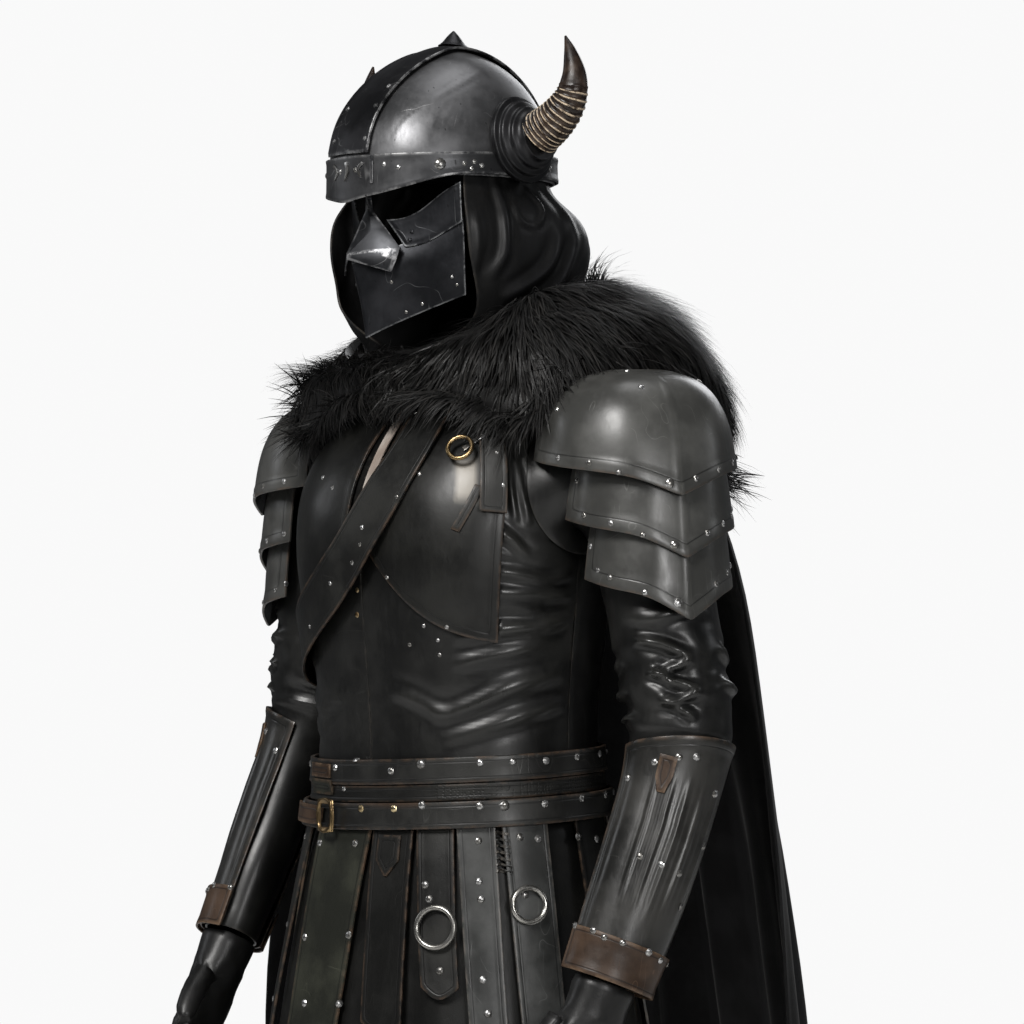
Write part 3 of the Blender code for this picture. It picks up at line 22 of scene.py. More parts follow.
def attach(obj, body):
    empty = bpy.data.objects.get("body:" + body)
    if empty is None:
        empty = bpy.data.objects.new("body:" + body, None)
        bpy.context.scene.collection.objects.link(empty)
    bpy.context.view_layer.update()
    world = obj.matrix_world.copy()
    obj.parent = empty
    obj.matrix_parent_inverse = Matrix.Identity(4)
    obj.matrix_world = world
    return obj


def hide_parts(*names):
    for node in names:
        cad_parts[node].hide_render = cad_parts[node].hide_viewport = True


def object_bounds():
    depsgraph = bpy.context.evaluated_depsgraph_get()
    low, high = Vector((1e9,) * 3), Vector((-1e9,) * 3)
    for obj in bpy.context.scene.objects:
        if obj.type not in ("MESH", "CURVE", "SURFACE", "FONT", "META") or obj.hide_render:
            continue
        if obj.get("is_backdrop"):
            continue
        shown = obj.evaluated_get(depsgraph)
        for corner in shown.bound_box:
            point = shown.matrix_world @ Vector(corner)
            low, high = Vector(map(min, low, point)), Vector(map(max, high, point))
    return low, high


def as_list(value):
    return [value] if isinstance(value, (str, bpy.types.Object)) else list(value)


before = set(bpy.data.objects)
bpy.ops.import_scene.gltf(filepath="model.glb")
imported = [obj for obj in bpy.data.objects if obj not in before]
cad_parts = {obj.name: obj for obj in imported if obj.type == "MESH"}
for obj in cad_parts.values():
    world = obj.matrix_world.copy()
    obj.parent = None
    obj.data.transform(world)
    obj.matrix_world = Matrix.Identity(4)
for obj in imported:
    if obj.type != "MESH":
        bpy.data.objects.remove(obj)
solid_box = [list(corner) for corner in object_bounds()]
print("the solids reach from", solid_box[0], "to", solid_box[1])

# %% [markdown]
# ## Camera, light and floor
#
# The camera stands level, four metres off, at the suit's front left, with a long lens, so
# that the near arm isn't drawn much larger than the far one. Black leather shows
# its shape only by what it reflects, so the lamps are large and soft rather than strong:
# the main one stands high beside the camera, which lights the near side of every plate and
# leaves the far side in shade, and weak ones rake along the edges. Even light from all
# round would make the suit one grey block. The floor is a pale disc just under the cape.

# %% Camera
CAMERA_TURN = math.radians(45)
CAMERA_AWAY = 4.0
CAMERA_LENS = 130.4
AIM_RIGHT = 0.0475
AIM_HEIGHT = -0.115

right = Vector((math.cos(CAMERA_TURN), math.sin(CAMERA_TURN), 0))
toward = Vector((math.sin(CAMERA_TURN), -math.cos(CAMERA_TURN), 0))
aim = right * AIM_RIGHT + Vector((0, 0, AIM_HEIGHT))
camera = bpy.data.objects.new("camera", bpy.data.cameras.new("camera"))
camera.data.lens = CAMERA_LENS
camera.data.sensor_width = 36
camera.location = aim + toward * CAMERA_AWAY
camera.rotation_euler = toward.to_track_quat("Z", "Y").to_euler()
bpy.context.scene.collection.objects.link(camera)
bpy.context.scene.camera = camera
print("camera at", tuple(round(v, 3) for v in camera.location))

# %% Lamps
Lamp = namedtuple("Lamp", "name place aim size power colour")
LAMPS = (
    Lamp("key", (1.0, -3.0, 2.3), (0, 0, -0.05), 1.2, 125, (1.0, 0.985, 0.965)),
    Lamp("low front", (3.2, -1.6, 0.35), (0.2, 0, -0.15), 0.7, 26, (1.0, 0.99, 0.98)),
    Lamp("far side", (-3.0, -1.6, 1.0), (-0.1, 0, -0.1), 1.0, 6, (0.95, 0.97, 1.0)),
    Lamp("near side", (2.4, 2.6, 0.9), (0.2, 0, -0.3), 0.8, 4, (0.95, 0.97, 1.0)),
    Lamp("top", (0.2, 0.2, 2.9), (0, 0, 0), 1.4, 16, (1.0, 1.0, 1.0)),
    Lamp("back", (-1.4, 3.2, 1.6), (0, 0, -0.2), 1.8, 30, (0.97, 0.98, 1.0)),
)


def add_lamp(lamp):
    data = bpy.data.lights.new(lamp.name, "AREA")
    data.shape = "SQUARE"
    data.size = lamp.size
    data.energy = lamp.power
    data.color = lamp.colour
    made = bpy.data.objects.new(lamp.name, data)
    made.location = lamp.place
    away = Vector(lamp.place) - Vector(lamp.aim)
    made.rotation_euler = away.to_track_quat("Z", "Y").to_euler()
    bpy.context.scene.collection.objects.link(made)


for lamp in LAMPS:
    add_lamp(lamp)
print(len(LAMPS), "lamps")

# %% White room
ROOM_SEEN = 0.95
ROOM_GLOW = 0.06
SEEN_COLOUR = (1, 1, 1, 1)
GLOW_COLOUR = (0.93, 0.96, 1, 1)

world = bpy.data.worlds.new("room")
world.use_nodes = True
bpy.context.scene.world = world
room = world.node_tree
room.nodes.clear()
path, mix, out = [room.nodes.new("ShaderNode" + kind) for kind in ("LightPath", "MixShader", "OutputWorld")]
room.links.new(path.outputs["Is Camera Ray"], mix.inputs["Fac"])
for slot, strength, colour in ((1, ROOM_GLOW, GLOW_COLOUR), (2, ROOM_SEEN, SEEN_COLOUR)):
    glow = room.nodes.new("ShaderNodeBackground")
    glow.inputs["Strength"].default_value = strength
    glow.inputs["Color"].default_value = colour
    room.links.new(glow.outputs[0], mix.inputs[slot])
room.links.new(mix.outputs[0], out.inputs["Surface"])
bpy.context.scene.view_settings.view_transform = "Standard"
print("room glow", ROOM_GLOW)

# %% [markdown]
# ## How a solid becomes a finished piece
#
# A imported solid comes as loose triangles. A copy of it is merged and its triangles are
# joined back to four-sided faces. For a wall, only the outer face is kept: the faces of
# its narrow rim are known by their edges, which are as long as the wall is thick, and of
# the two sheets that are left the outer one is larger. Subdivision makes it smooth. It also
# pulls a coarse sheet inwards, so the coarse points are first pushed out until the smooth
# sheet goes through where they were. Solidify then gives the sheet its thickness.

# %% Clean copies of a solid
MERGE = 1e-5
JOIN_BEND = math.radians(70)
JOIN_SKEW = math.radians(80)


def mesh_of(work, name):
    """Ends the work on a mesh and keeps it under a name."""
    mesh = bpy.data.meshes.new(name)
    work.to_mesh(mesh)
    work.free()
    return mesh


def merged_copy(node):
    """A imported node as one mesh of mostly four-sided faces."""
    work = bmesh.new()
    work.from_mesh(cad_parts[node].data)
    bmesh.ops.remove_doubles(work, verts=work.verts, dist=MERGE)
    bends = {"angle_face_threshold": JOIN_BEND, "angle_shape_threshold": JOIN_SKEW}
    bmesh.ops.join_triangles(work, faces=work.faces, **bends)
    work.normal_update()
    return work


def islands(work):
    """The separate sheets of a mesh, as lists of faces, the largest area first."""
    left = set(work.faces)
    found = []
    while left:
        first = left.pop()
        sheet, border = [first], [first]
        while border:
            face = border.pop()
            near = {other for edge in face.edges for other in edge.link_faces} & left
            left -= near
            sheet += near
            border += near
        found.append(sheet)
    return sorted(found, key=lambda sheet: -sum(face.calc_area() for face in sheet))


def is_rim(face, thick):
    """Rim faces are as wide as the wall is thick."""
    thin = sum(abs(edge.calc_length() - thick) < 0.02 * thick for edge in face.edges)
    return thin >= len(face.edges) - 2


def outer_face(node, thick):
    """The outer face of a wall as a mesh of its own."""
    work = merged_copy(node)
    rim = [face for face in work.faces if is_rim(face, thick)]
    bmesh.ops.delete(work, geom=rim, context="FACES")
    for sheet in islands(work)[1:]:
        bmesh.ops.delete(work, geom=sheet, context="FACES")
    return mesh_of(work, node)


print("copies are merged at", MERGE, "m")

# %% Reading and writing the points of a mesh
def vectors(items, name):
    values = np.empty(len(items) * 3, np.float32)
    items.foreach_get(name, values)
    return values.reshape(-1, 3).astype(float)


def places(mesh):
    return vectors(mesh.vertices, "co")


def normals_of(mesh):
    return vectors(mesh.vertex_normals, "vector")


def put_places(mesh, values):
    mesh.vertices.foreach_set("co", values.astype(np.float32).ravel())
    mesh.update()


def keep_value(mesh, name, values):
    """Stores one number a point, for a material or a modifier to read."""
    layer = mesh.attributes.new(name, "FLOAT", "POINT")
    layer.data.foreach_set("value", np.asarray(values, np.float32))


def keep_directions(mesh, name, directions):
    """Stores one direction a point."""
    layer = mesh.attributes.new(name, "FLOAT_VECTOR", "POINT")
    layer.data.foreach_set("vector", [value for direction in directions for value in direction])


def link_piece(name, mesh):
    made = bpy.data.objects.new(name, mesh)
    bpy.context.scene.collection.objects.link(made)
    return made


def applied(piece):
    """The piece with its modifiers worked into its mesh."""
    graph = bpy.context.evaluated_depsgraph_get()
    mesh = bpy.data.meshes.new_from_object(piece.evaluated_get(graph))
    piece.modifiers.clear()
    old = piece.data
    piece.data = mesh
    bpy.data.meshes.remove(old)
    return piece


print("points are read as rows of x, y and z")

# %% Smooth sheets that keep their form
KEEL_REACH = 0.003
HOLD_TURNS = 4


def crease_sharp(mesh, degrees, amount, keel=None):
    """Edges that bend more than this stay sharp when the mesh is made smooth, and so do
    those along a keel, which is where the given line's angle is 0."""
    work = bmesh.new()
    work.from_mesh(mesh)
    layer = work.edges.layers.float.get("crease_edge") or work.edges.layers.float.new("crease_edge")
    off = abs(keel.spread(places(mesh))[:, 0]) if keel else np.ones(len(work.verts))
    for edge in work.edges:
        on_keel = max(off[vertex.index] for vertex in edge.verts) < KEEL_REACH
        if len(edge.link_faces) == 2 and (on_keel or edge.calc_face_angle(0) > math.radians(degrees)):
            edge[layer] = amount
    work.to_mesh(mesh)
    work.free()


def smoothed(name, mesh, levels, sharp=55, crease=0.85, hold=1.0, keel=None):
    """A smooth piece whose surface goes through the coarse points, or, at a hold below 1,
    lies that share of the way from the shrunken surface to them."""
    crease_sharp(mesh, sharp, crease, keel)
    target = places(mesh)
    coarse = target.copy()
    piece = link_piece(name, mesh)
    smooth = piece.modifiers.new("smooth", "SUBSURF")
    smooth.levels = smooth.render_levels = 1
    smooth.boundary_smooth = "PRESERVE_CORNERS"
    for turn in range(HOLD_TURNS):
        graph = bpy.context.evaluated_depsgraph_get()
        now = places(piece.evaluated_get(graph).data)[: len(target)]
        if turn == 0:
            target = now + (target - now) * hold
        coarse = coarse + (target - now)
        put_places(mesh, coarse)
    smooth.levels = smooth.render_levels = levels
    return applied(piece)


print("a coarse sheet is corrected", HOLD_TURNS, "times")

# %% Distances from a sheet's edge
FAR_IN = 0.05
RIM_STEP = 0.0015


def edge_distance(mesh, ridges=None):
    """How far each point of a sheet lies from its edge, and from its ridges if they are
    given as the bend in degrees from which an edge counts as one."""
    work = bmesh.new()
    work.from_mesh(mesh)
    bend = math.radians(ridges or 360)
    rim = []
    for edge in work.edges:
        if edge.is_boundary or (edge.is_manifold and edge.calc_face_angle(0) > bend):
            a, b = edge.verts[0].co, edge.verts[1].co
            count = max(int((b - a).length / RIM_STEP), 1)
            rim += [a.lerp(b, i / count) for i in range(count)]
    tree = kdtree.KDTree(len(rim))
    for i, place in enumerate(rim):
        tree.insert(place, i)
    tree.balance()
    found = np.array([tree.find(vertex.co)[2] for vertex in work.verts]) if rim else FAR_IN
    work.free()
    return np.minimum(found, np.full(len(mesh.vertices), FAR_IN))


print("edge distances are measured up to", FAR_IN, "m in")

# %% From sheet to finished wall
Sheet = namedtuple("Sheet", "places normals distance")
FOLD_UNIT = 0.003       # a move of this much counts as a full fold for the finishes
COVER_GAP = 0.0008      # a piece stays this far under the one that lies over it
COVER_REACH = 0.012     # a piece farther out than this covers nothing
LEAST_MOVE = 0.0002
RIM_BEND = math.radians(60)
SHARP_BEND = math.radians(38)
made_pieces = []


def thickened(piece, thick, rounding):
    """A closed wall under the sheet, with slightly rounded rims."""
    wall = piece.modifiers.new("wall", "SOLIDIFY")
    wall.thickness = thick
    wall.offset = -1
    wall.use_even_offset = False
    wall.use_rim = True
    if rounding:
        soft = piece.modifiers.new("rims", "BEVEL")
        soft.width = rounding
        soft.segments = 2
        soft.limit_method = "ANGLE"
        soft.angle_limit = RIM_BEND
    return applied(piece)


def hand_over(piece, nodes, look):
    """Hides the solids that the piece stands for, gives it its finish and lets it ride."""
    piece.data.materials.clear()
    piece.data.materials.append(finishes[look].material)
    piece.data.shade_smooth()
    piece.data.set_sharp_from_angle(angle=SHARP_BEND)
    if nodes:
        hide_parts(*nodes)
    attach(piece, "root")
    made_pieces.append(piece)
    print(piece.name, len(piece.data.polygons), "faces")


def tree_of(mesh):
    """A search tree of a mesh's faces, for rays."""
    corners = [vertex.co for vertex in mesh.vertices]
    return BVHTree.FromPolygons(corners, [tuple(face.vertices) for face in mesh.polygons])


def kept_under(sheet, moves, under):
    """Moves cut short where a piece that lies over the sheet is nearer than they reach."""
    covers = [tree_of(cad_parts[node].data) for node in under]
    kept = moves.copy()
    for i in np.nonzero(moves > LEAST_MOVE)[0]:
        place, normal = Vector(sheet.places[i]), Vector(sheet.normals[i])
        for cover in covers:
            away = cover.ray_cast(place, normal, COVER_REACH)[3]
            if away is not None:
                kept[i] = min(kept[i], max(away - COVER_GAP, 0))
    return kept


def shaped(piece, shape, under=(), ridges=None):
    """Works a shape into a smooth piece: the shape function gets a Sheet and gives how far
    each point moves out along its normal. Pieces under others stay under them."""
    sheet = Sheet(places(piece.data), normals_of(piece.data), edge_distance(piece.data, ridges))
    if shape:
        moves = kept_under(sheet, np.asarray(shape(sheet), float), under)
        put_places(piece.data, sheet.places + sheet.normals * moves[:, None])
        keep_value(piece.data, "fold", np.clip(moves / FOLD_UNIT, -1, 1))
    keep_value(piece.data, "rim", sheet.distance)
    return sheet


def dressed_wall(
    node, thick, levels, look, shape=None, marks=None, under=(), rounding=0.0006, ridges=None, **smoothing
):
    """A wall of the suit, smoothed, shaped and given its thickness again. The marks
    function gives named numbers for the finish."""
    piece = smoothed(node + "_made", outer_face(node, thick), levels, **smoothing)
    sheet = shaped(piece, shape, under, ridges)
    for name, values in (marks(sheet) if marks else {}).items():
        keep_value(piece.data, name, values)
    hand_over(thickened(piece, thick, rounding), [node], look)


def dressed_solid(node, levels, look, sharp=40, shape=None):
    """A solid of the suit, smoothed with its sharp edges kept, and shaped."""
    piece = smoothed(node + "_made", mesh_of(merged_copy(node), node), levels, sharp, 0.9)
    shaped(piece, shape)
    hand_over(piece, [node], look)


print("ready to dress", len(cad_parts), "solids")

# %% [markdown]
# ## Finishes
#
# Every finish is grown from noise in the piece's own space, in metres, so a grain keeps
# its real size on a glove and on a cape. What several finishes share is a node group made
# once: the pebbled grain of a hide, the wear along an edge, whose paler colour also paints
# the highlight an edge catches, the smudges of handling, a line pressed along an edge and
# painted dark as shade, fine scratches, and the painted highlight on the tops of folds,
# which also stands for rubbing, and the painted shade in their bottoms.
# A group gives back heights and masks only, and each material mixes its own colours and
# roughness with them.

# %% Small helpers for node trees
def wire(value, socket):
    """Feeds an input from another socket, or sets it to a plain value."""
    if isinstance(value, bpy.types.NodeSocket):
        socket.id_data.links.new(value, socket)
    else:
        socket.default_value = value


def add_node(tree, kind, inputs=None, **settings):
    """A node with its settings, and its inputs as plain values or sockets to wire in."""
    made = tree.nodes.new(kind)
    for key, value in settings.items():
        setattr(made, key, value)
    for key, value in (inputs or {}).items():
        wire(value, made.inputs[key])
    return made


def maths(operation, first, second=0.0, clamp=False):
    """A sum of sockets and plain numbers, at least one of them a socket."""
    tree = (first if isinstance(first, bpy.types.NodeSocket) else second).id_data
    numbers = {0: first, 1: second}
    return add_node(tree, "ShaderNodeMath", numbers, operation=operation, use_clamp=clamp).outputs[0]


def times(first, second, clamp=False):
    return maths("MULTIPLY", first, second, clamp)


def plus(first, second):
    return maths("ADD", first, second)


def less(first, second, clamp=False):
    return maths("SUBTRACT", first, second, clamp)


def ramp(source, low, high, give_low=0.0, give_high=1.0):
    """Maps one range of a value smoothly on to another."""
    ends = {"Value": source, "From Min": low, "From Max": high, "To Min": give_low, "To Max": give_high}
    made = add_node(source.id_data, "ShaderNodeMapRange", ends, interpolation_type="SMOOTHSTEP")
    return made.outputs["Result"]


def own_place(tree):
    """Places in the piece's own space, in metres."""
    return add_node(tree, "ShaderNodeTexCoord").outputs["Object"]


def noise_of(tree, scale, detail=2.0, roughness=0.5, stretch=None):
    """Noise in the piece's own space, drawn out along one axis when stretch is given."""
    place = own_place(tree)
    if stretch:
        place = add_node(tree, "ShaderNodeMapping", {"Vector": place, "Scale": stretch}).outputs["Vector"]
    numbers = {"Vector": place, "Scale": scale, "Detail": detail, "Roughness": roughness}
    return add_node(tree, "ShaderNodeTexNoise", numbers).outputs["Fac"]


def value_of(tree, name):
    """A number stored on the mesh: 0 where the mesh has none of that name."""
    return add_node(tree, "ShaderNodeAttribute", attribute_name=name).outputs["Fac"]


def blended(under, over, share):
    """Two colours mixed by a share; each colour is a socket or three numbers."""
    colours = [c if isinstance(c, bpy.types.NodeSocket) else (*c, 1) for c in (under, over)]
    inputs = {"A": colours[0], "B": colours[1], "Factor": share}
    return add_node(share.id_data, "ShaderNodeMix", inputs, data_type="RGBA").outputs["Result"]


def new_group(name, numbers, gives):
    """A shader group with number inputs and named outputs: the tree and its two ends."""
    tree = bpy.data.node_groups.new(name, "ShaderNodeTree")
    for label, value in numbers.items():
        socket = tree.interface.new_socket(label, in_out="INPUT", socket_type="NodeSocketFloat")
        socket.default_value = value
    for label in gives:
        tree.interface.new_socket(label, in_out="OUTPUT", socket_type="NodeSocketFloat")
    return tree, tree.nodes.new("NodeGroupInput").outputs, tree.nodes.new("NodeGroupOutput").inputs


def use_group(tree, group, **numbers):
    """The outputs of a group, used with the given numbers."""
    named = {label.replace("_", " "): value for label, value in numbers.items()}
    return add_node(tree, "ShaderNodeGroup", named, node_tree=group).outputs


print("node helpers ready")

# %% Grain of a hide
def make_grain():
    """Fine pebbles, finer pores, and slack shallow hollows under both."""
    tree, given, gives = new_group("hide grain", {"Pebble": 1.0}, ("Height",))
    numbers = {"Vector": own_place(tree), "Scale": 760.0, "Smoothness": 0.7}
    pebble = add_node(tree, "ShaderNodeTexVoronoi", numbers, feature="SMOOTH_F1").outputs["Distance"]
    pebbles = times(times(pebble, given["Pebble"]), 0.5)
    hollows = times(noise_of(tree, 42.0, 3.0), 2.4)
    pores = times(noise_of(tree, 1500.0, 2.0), 0.25)
    wire(plus(plus(pebbles, hollows), pores), gives["Height"])
    return tree


hide_grain = make_grain()
print("grain group has", len(hide_grain.nodes), "nodes")

# %% Wear along edges and a line pressed beside them
LINE_WIDTH = 0.0011
NO_LINE = 0.0001        # a line nearer to the edge than this is no line


def make_wear():
    """Rubbed edges, broken up by noise, whose paler colour also paints the highlight an edge catches, and a
    groove at a set distance in from the edge.
    """
    numbers = {"Reach": 0.006, "Amount": 0.6, "Line At": 0.0}
    tree, given, gives = new_group("edge wear and highlight", numbers, ("Worn", "Line"))
    rim = value_of(tree, "rim")
    near = less(1.0, maths("DIVIDE", rim, given["Reach"]), clamp=True)
    patch = ramp(noise_of(tree, 70.0, 5.0, 0.7), 0.40, 0.62)
    wire(times(times(near, patch), given["Amount"], clamp=True), gives["Worn"])
    off = maths("ABSOLUTE", less(rim, given["Line At"]))
    line = less(1.0, maths("DIVIDE", off, LINE_WIDTH), clamp=True)
    wire(times(line, maths("GREATER_THAN", given["Line At"], NO_LINE)), gives["Line"])
    return tree


edge_wear_and_highlight = make_wear()
print("wear group has", len(edge_wear_and_highlight.nodes), "nodes")

# %% Smudges, scratches and folds
def make_smudges():
    """Soft patches where hands have polished or dulled the surface, and fine rubbed streaks."""
    tree, given, gives = new_group("smudges", {"Size": 14.0}, ("Patch", "Streak"))
    wire(ramp(noise_of(tree, given["Size"], 5.0, 0.6), 0.38, 0.66), gives["Patch"])
    wire(ramp(noise_of(tree, 190.0, 3.0, 0.7, (1.0, 1.0, 0.22)), 0.45, 0.75), gives["Streak"])
    return tree


def make_scratches():
    """Thin bright hairlines and a few deeper nicks: the narrow band round a noise's middle."""
    tree, given, gives = new_group("scratches", {"Amount": 1.0}, ("Hairline", "Nick"))
    lines = []
    for scale, stretch in ((46.0, (1.0, 1.0, 0.10)), (38.0, (0.12, 1.0, 0.7))):
        off = maths("ABSOLUTE", less(noise_of(tree, scale, 1.0, stretch=stretch), 0.5))
        thin = less(1.0, maths("DIVIDE", off, 0.006), clamp=True)
        lines.append(times(thin, ramp(noise_of(tree, 17.0 + scale / 9), 0.56, 0.64)))
    wire(times(maths("MAXIMUM", *lines), given["Amount"]), gives["Hairline"])
    nick = ramp(noise_of(tree, 210.0, 1.0, stretch=(1.0, 1.0, 0.5)), 0.735, 0.765)
    wire(times(nick, given["Amount"]), gives["Nick"])
    return tree


def make_folds():
    """Masks from the stored fold height: tops get rubbing and a painted highlight, bottoms painted shade."""
    tree, _, gives = new_group("fold highlight and shade", {}, ("Top", "Bottom"))
    fold = value_of(tree, "fold")
    wire(ramp(fold, 0.25, 1.0), gives["Top"])
    wire(ramp(times(fold, -1.0), 0.1, 0.7), gives["Bottom"])
    return tree


smudges = make_smudges()
scratches = make_scratches()
fold_highlight_and_shade = make_folds()
print("smudge, scratch and fold groups made")

# %% [markdown]
# ### Leathers
#
# All the leathers are one recipe: dyed hide, waxed, rubbed and a little dusty. The jerkin
# is thin and shiny on its folds, the plates are hardened and smoother, the straps are drier
# and olive or grey where the dye has faded, and a few brown pieces were never dyed black.
# Wear shows brown at the edges, because there the dye is rubbed off, and that paler edge
# also paints the highlight an edge catches. A line is pressed beside the edge of plates and
# straps, as a creasing iron leaves it, and painted dark as shade. The tops of folds are
# painted lighter, partly as rubbing and partly as a highlight, and their bottoms darker as
# shade.

# %% A leather
Finish = namedtuple("Finish", "slot material")
Leather = namedtuple("Leather", "slot colour pale rough worn reach amount line grain bump coat")
BUMP_HEIGHT = 0.0006    # a height of 1 stands for this much
IN_SHADE = (0.002, 0.002, 0.002)
# The pale beige of a painted highlight patch, then the real brown of an undyed strip.
PAINTED_HIGHLIGHT = (0.44, 0.40, 0.34)
BROWN_RUB = (0.055, 0.034, 0.022)


def new_material(name):
    """A material, its tree and the inputs of its shader."""
    material = bpy.data.materials.new(name)
    material.use_nodes = True
    return material, material.node_tree, material.node_tree.nodes["Principled BSDF"].inputs


def bumped(shader, height, strength):
    numbers = {"Height": height, "Strength": strength, "Distance": BUMP_HEIGHT}
    wire(add_node(height.id_data, "ShaderNodeBump", numbers).outputs["Normal"], shader["Normal"])


def leather(name, look):
    material, tree, shader = new_material(name)
    grain = use_group(tree, hide_grain, Pebble=look.grain)
    wear = use_group(tree, edge_wear_and_highlight, Reach=look.reach, Amount=look.amount, Line_At=look.line)
    smudge, fold, scratch = [use_group(tree, group) for group in (smudges, fold_highlight_and_shade, scratches)]
    # One lighter colour for scratches, which are rubbed, and for the tops of folds, which are rubbed and also
    # take a painted highlight.
    scuff_and_highlight = tuple(min(value * 2.0, 0.2) for value in look.pale)
    # Painted shade: the bottoms of folds and the pressed line beside the edge are darkened.
    groove = maths("MAXIMUM", fold["Bottom"], wear["Line"])
    base = blended(look.colour, look.pale, smudge["Patch"])
    for colour, share in (
        (scuff_and_highlight, times(fold["Top"], 0.6)),
        (scuff_and_highlight, times(scratch["Hairline"], 0.5)),
        (IN_SHADE, times(groove, 0.75)),
        # Brown or grey worn edges: real wear, whose paler colour also paints the highlight an edge catches.
        (look.worn, wear["Worn"]),
        # Painted highlight: the soft pale patch on the left chest plate.
        (PAINTED_HIGHLIGHT, value_of(tree, "pale")),
        (BROWN_RUB, value_of(tree, "brown")),
    ):
        base = blended(base, colour, share)
    wire(base, shader["Base Color"])
    dusty = plus(times(smudge["Streak"], 0.10), times(smudge["Patch"], 0.10))
    wire(less(plus(dusty, look.rough - 0.08), times(fold["Top"], 0.10)), shader["Roughness"])
    numbers = {"Vector": own_place(tree), "Scale": 290.0, "Randomness": 0.35}
    dots = add_node(tree, "ShaderNodeTexVoronoi", numbers).outputs["Distance"]
    stamped = times(times(ramp(dots, 0.15, 0.45), value_of(tree, "stipple")), 3.0)
    pressed = less(grain["Height"], times(wear["Line"], 2.2))
    bumped(shader, plus(less(pressed, times(scratch["Hairline"], 0.6)), stamped), look.bump)
    wire(0.22 + look.coat, shader["Specular IOR Level"])
    wire(look.coat, shader["Coat Weight"])
    wire(0.25, shader["Coat Roughness"])
    return Finish(look.slot, material)


BLACK = (0.0052, 0.0052, 0.0050)
SOFT_WORN = (0.045, 0.038, 0.030)
BROWN_WORN = (0.110, 0.070, 0.045)
LEATHERS = {
    "jerkin": Leather(
        "jerkin_leather", BLACK, (0.013, 0.013, 0.012),
        0.43, SOFT_WORN, 0.003, 0.5, 0, 0.5, 0.22, 0.22,
    ),
    "skirt": Leather(
        "jerkin_leather", BLACK, (0.010, 0.010, 0.009),
        0.50, SOFT_WORN, 0.003, 0.5, 0, 0.8, 0.30, 0.05,
    ),
    "glove": Leather(
        "glove_leather", BLACK, (0.012, 0.012, 0.012),
        0.42, SOFT_WORN, 0.003, 0.5, 0, 0.7, 0.35, 0.18,
    ),
    "hood": Leather(
        "hood_leather", (0.0035, 0.0035, 0.0035), (0.007, 0.007, 0.0075),
        0.54, SOFT_WORN, 0.003, 0.7, 0, 0.25, 0.18, 0.10,
    ),
    "chest": Leather(
        "plate_leather", (0.005, 0.005, 0.0045), (0.011, 0.011, 0.0095),
        0.44, BROWN_WORN, 0.0035, 0.55, 0.0085, 0.5, 0.2, 0.2,
    ),
    "shoulder": Leather(
        "plate_leather", (0.046, 0.046, 0.043), (0.080, 0.080, 0.075),
        0.38, BROWN_WORN, 0.0035, 0.55, 0.0125, 0.35, 0.2, 0.3,
    ),
    "bracer": Leather(
        "plate_leather", (0.011, 0.011, 0.010), (0.034, 0.033, 0.030),
        0.36, BROWN_WORN, 0.005, 0.7, 0.0090, 0.4, 0.25, 0.3,
    ),
    "strap": Leather(
        "strap_leather", (0.008, 0.008, 0.0075), (0.020, 0.020, 0.018),
        0.46, BROWN_WORN, 0.003, 0.6, 0.0050, 0.6, 0.3, 0.12,
    ),
    "belt": Leather(
        "strap_leather", (0.011, 0.011, 0.0105), (0.028, 0.028, 0.026),
        0.42, BROWN_WORN, 0.0035, 0.6, 0.0050, 0.6, 0.3, 0.2,
    ),
    "olive": Leather(
        "strap_leather", (0.016, 0.017, 0.013), (0.036, 0.038, 0.028),
        0.60, BROWN_WORN, 0.004, 0.8, 0.0060, 0.8, 0.35, 0.0,
    ),
    "dark strap": Leather(
        "strap_leather", (0.004, 0.004, 0.0035), (0.009, 0.009, 0.008),
        0.54, BROWN_WORN, 0.003, 0.6, 0.0060, 0.7, 0.3, 0.08,
    ),
    "grey strap": Leather(
        "strap_leather", (0.028, 0.029, 0.028), (0.070, 0.072, 0.070),
        0.42, (0.16, 0.14, 0.12), 0.003, 0.7, 0.0055, 0.4, 0.25, 0.2,
    ),
    "brown": Leather(
        "brown_leather", (0.030, 0.017, 0.010), (0.075, 0.045, 0.028),
        0.45, (0.20, 0.13, 0.08), 0.004, 0.7, 0.0050, 0.6, 0.3, 0.15,
    ),
}
finishes = {name: leather(name + " leather", look) for name, look in LEATHERS.items()}
print(len(LEATHERS), "leathers")

# %% [markdown]
# ### Steel and brass
#
# The helmet's steel is old and darkened by age: grey with soft cloudy changes, bright
# hairline scratches, small nicks and paler rubbed edges, whose paleness also paints the
# highlight an edge catches. It isn't a clean mirror, because a film of oil and rust lies on
# it, so it is only partly metallic. Brass and the two rings are small and bright.

# %% Metals
Metal = namedtuple("Metal", "slot colour pale rough edge reach scratch bump metallic")
PIT = (0.006, 0.006, 0.006)


def metal(name, look):
    material, tree, shader = new_material(name)
    wear = use_group(tree, edge_wear_and_highlight, Reach=look.reach, Amount=1.0)
    smudge = use_group(tree, smudges, Size=16.0)
    scratch = use_group(tree, scratches, Amount=look.scratch)
    base = blended(look.colour, look.pale, smudge["Patch"])
    base = blended(base, look.edge, times(scratch["Hairline"], 0.6))
    # Worn edges are paler: partly rubbed steel, partly a painted highlight along edges, beads and folds.
    base = blended(base, look.edge, wear["Worn"])
    wire(blended(base, PIT, times(scratch["Nick"], 0.8)), shader["Base Color"])
    wire(look.metallic, shader["Metallic"])
    hazy = plus(times(smudge["Streak"], 0.08), times(smudge["Patch"], 0.10))
    wire(plus(hazy, look.rough - 0.08), shader["Roughness"])
    uneven = plus(noise_of(tree, 45.0, 3.0), times(noise_of(tree, 420.0), 0.10))
    bumped(shader, less(uneven, times(scratch["Hairline"], 0.5)), look.bump)
    return Finish(look.slot, material)
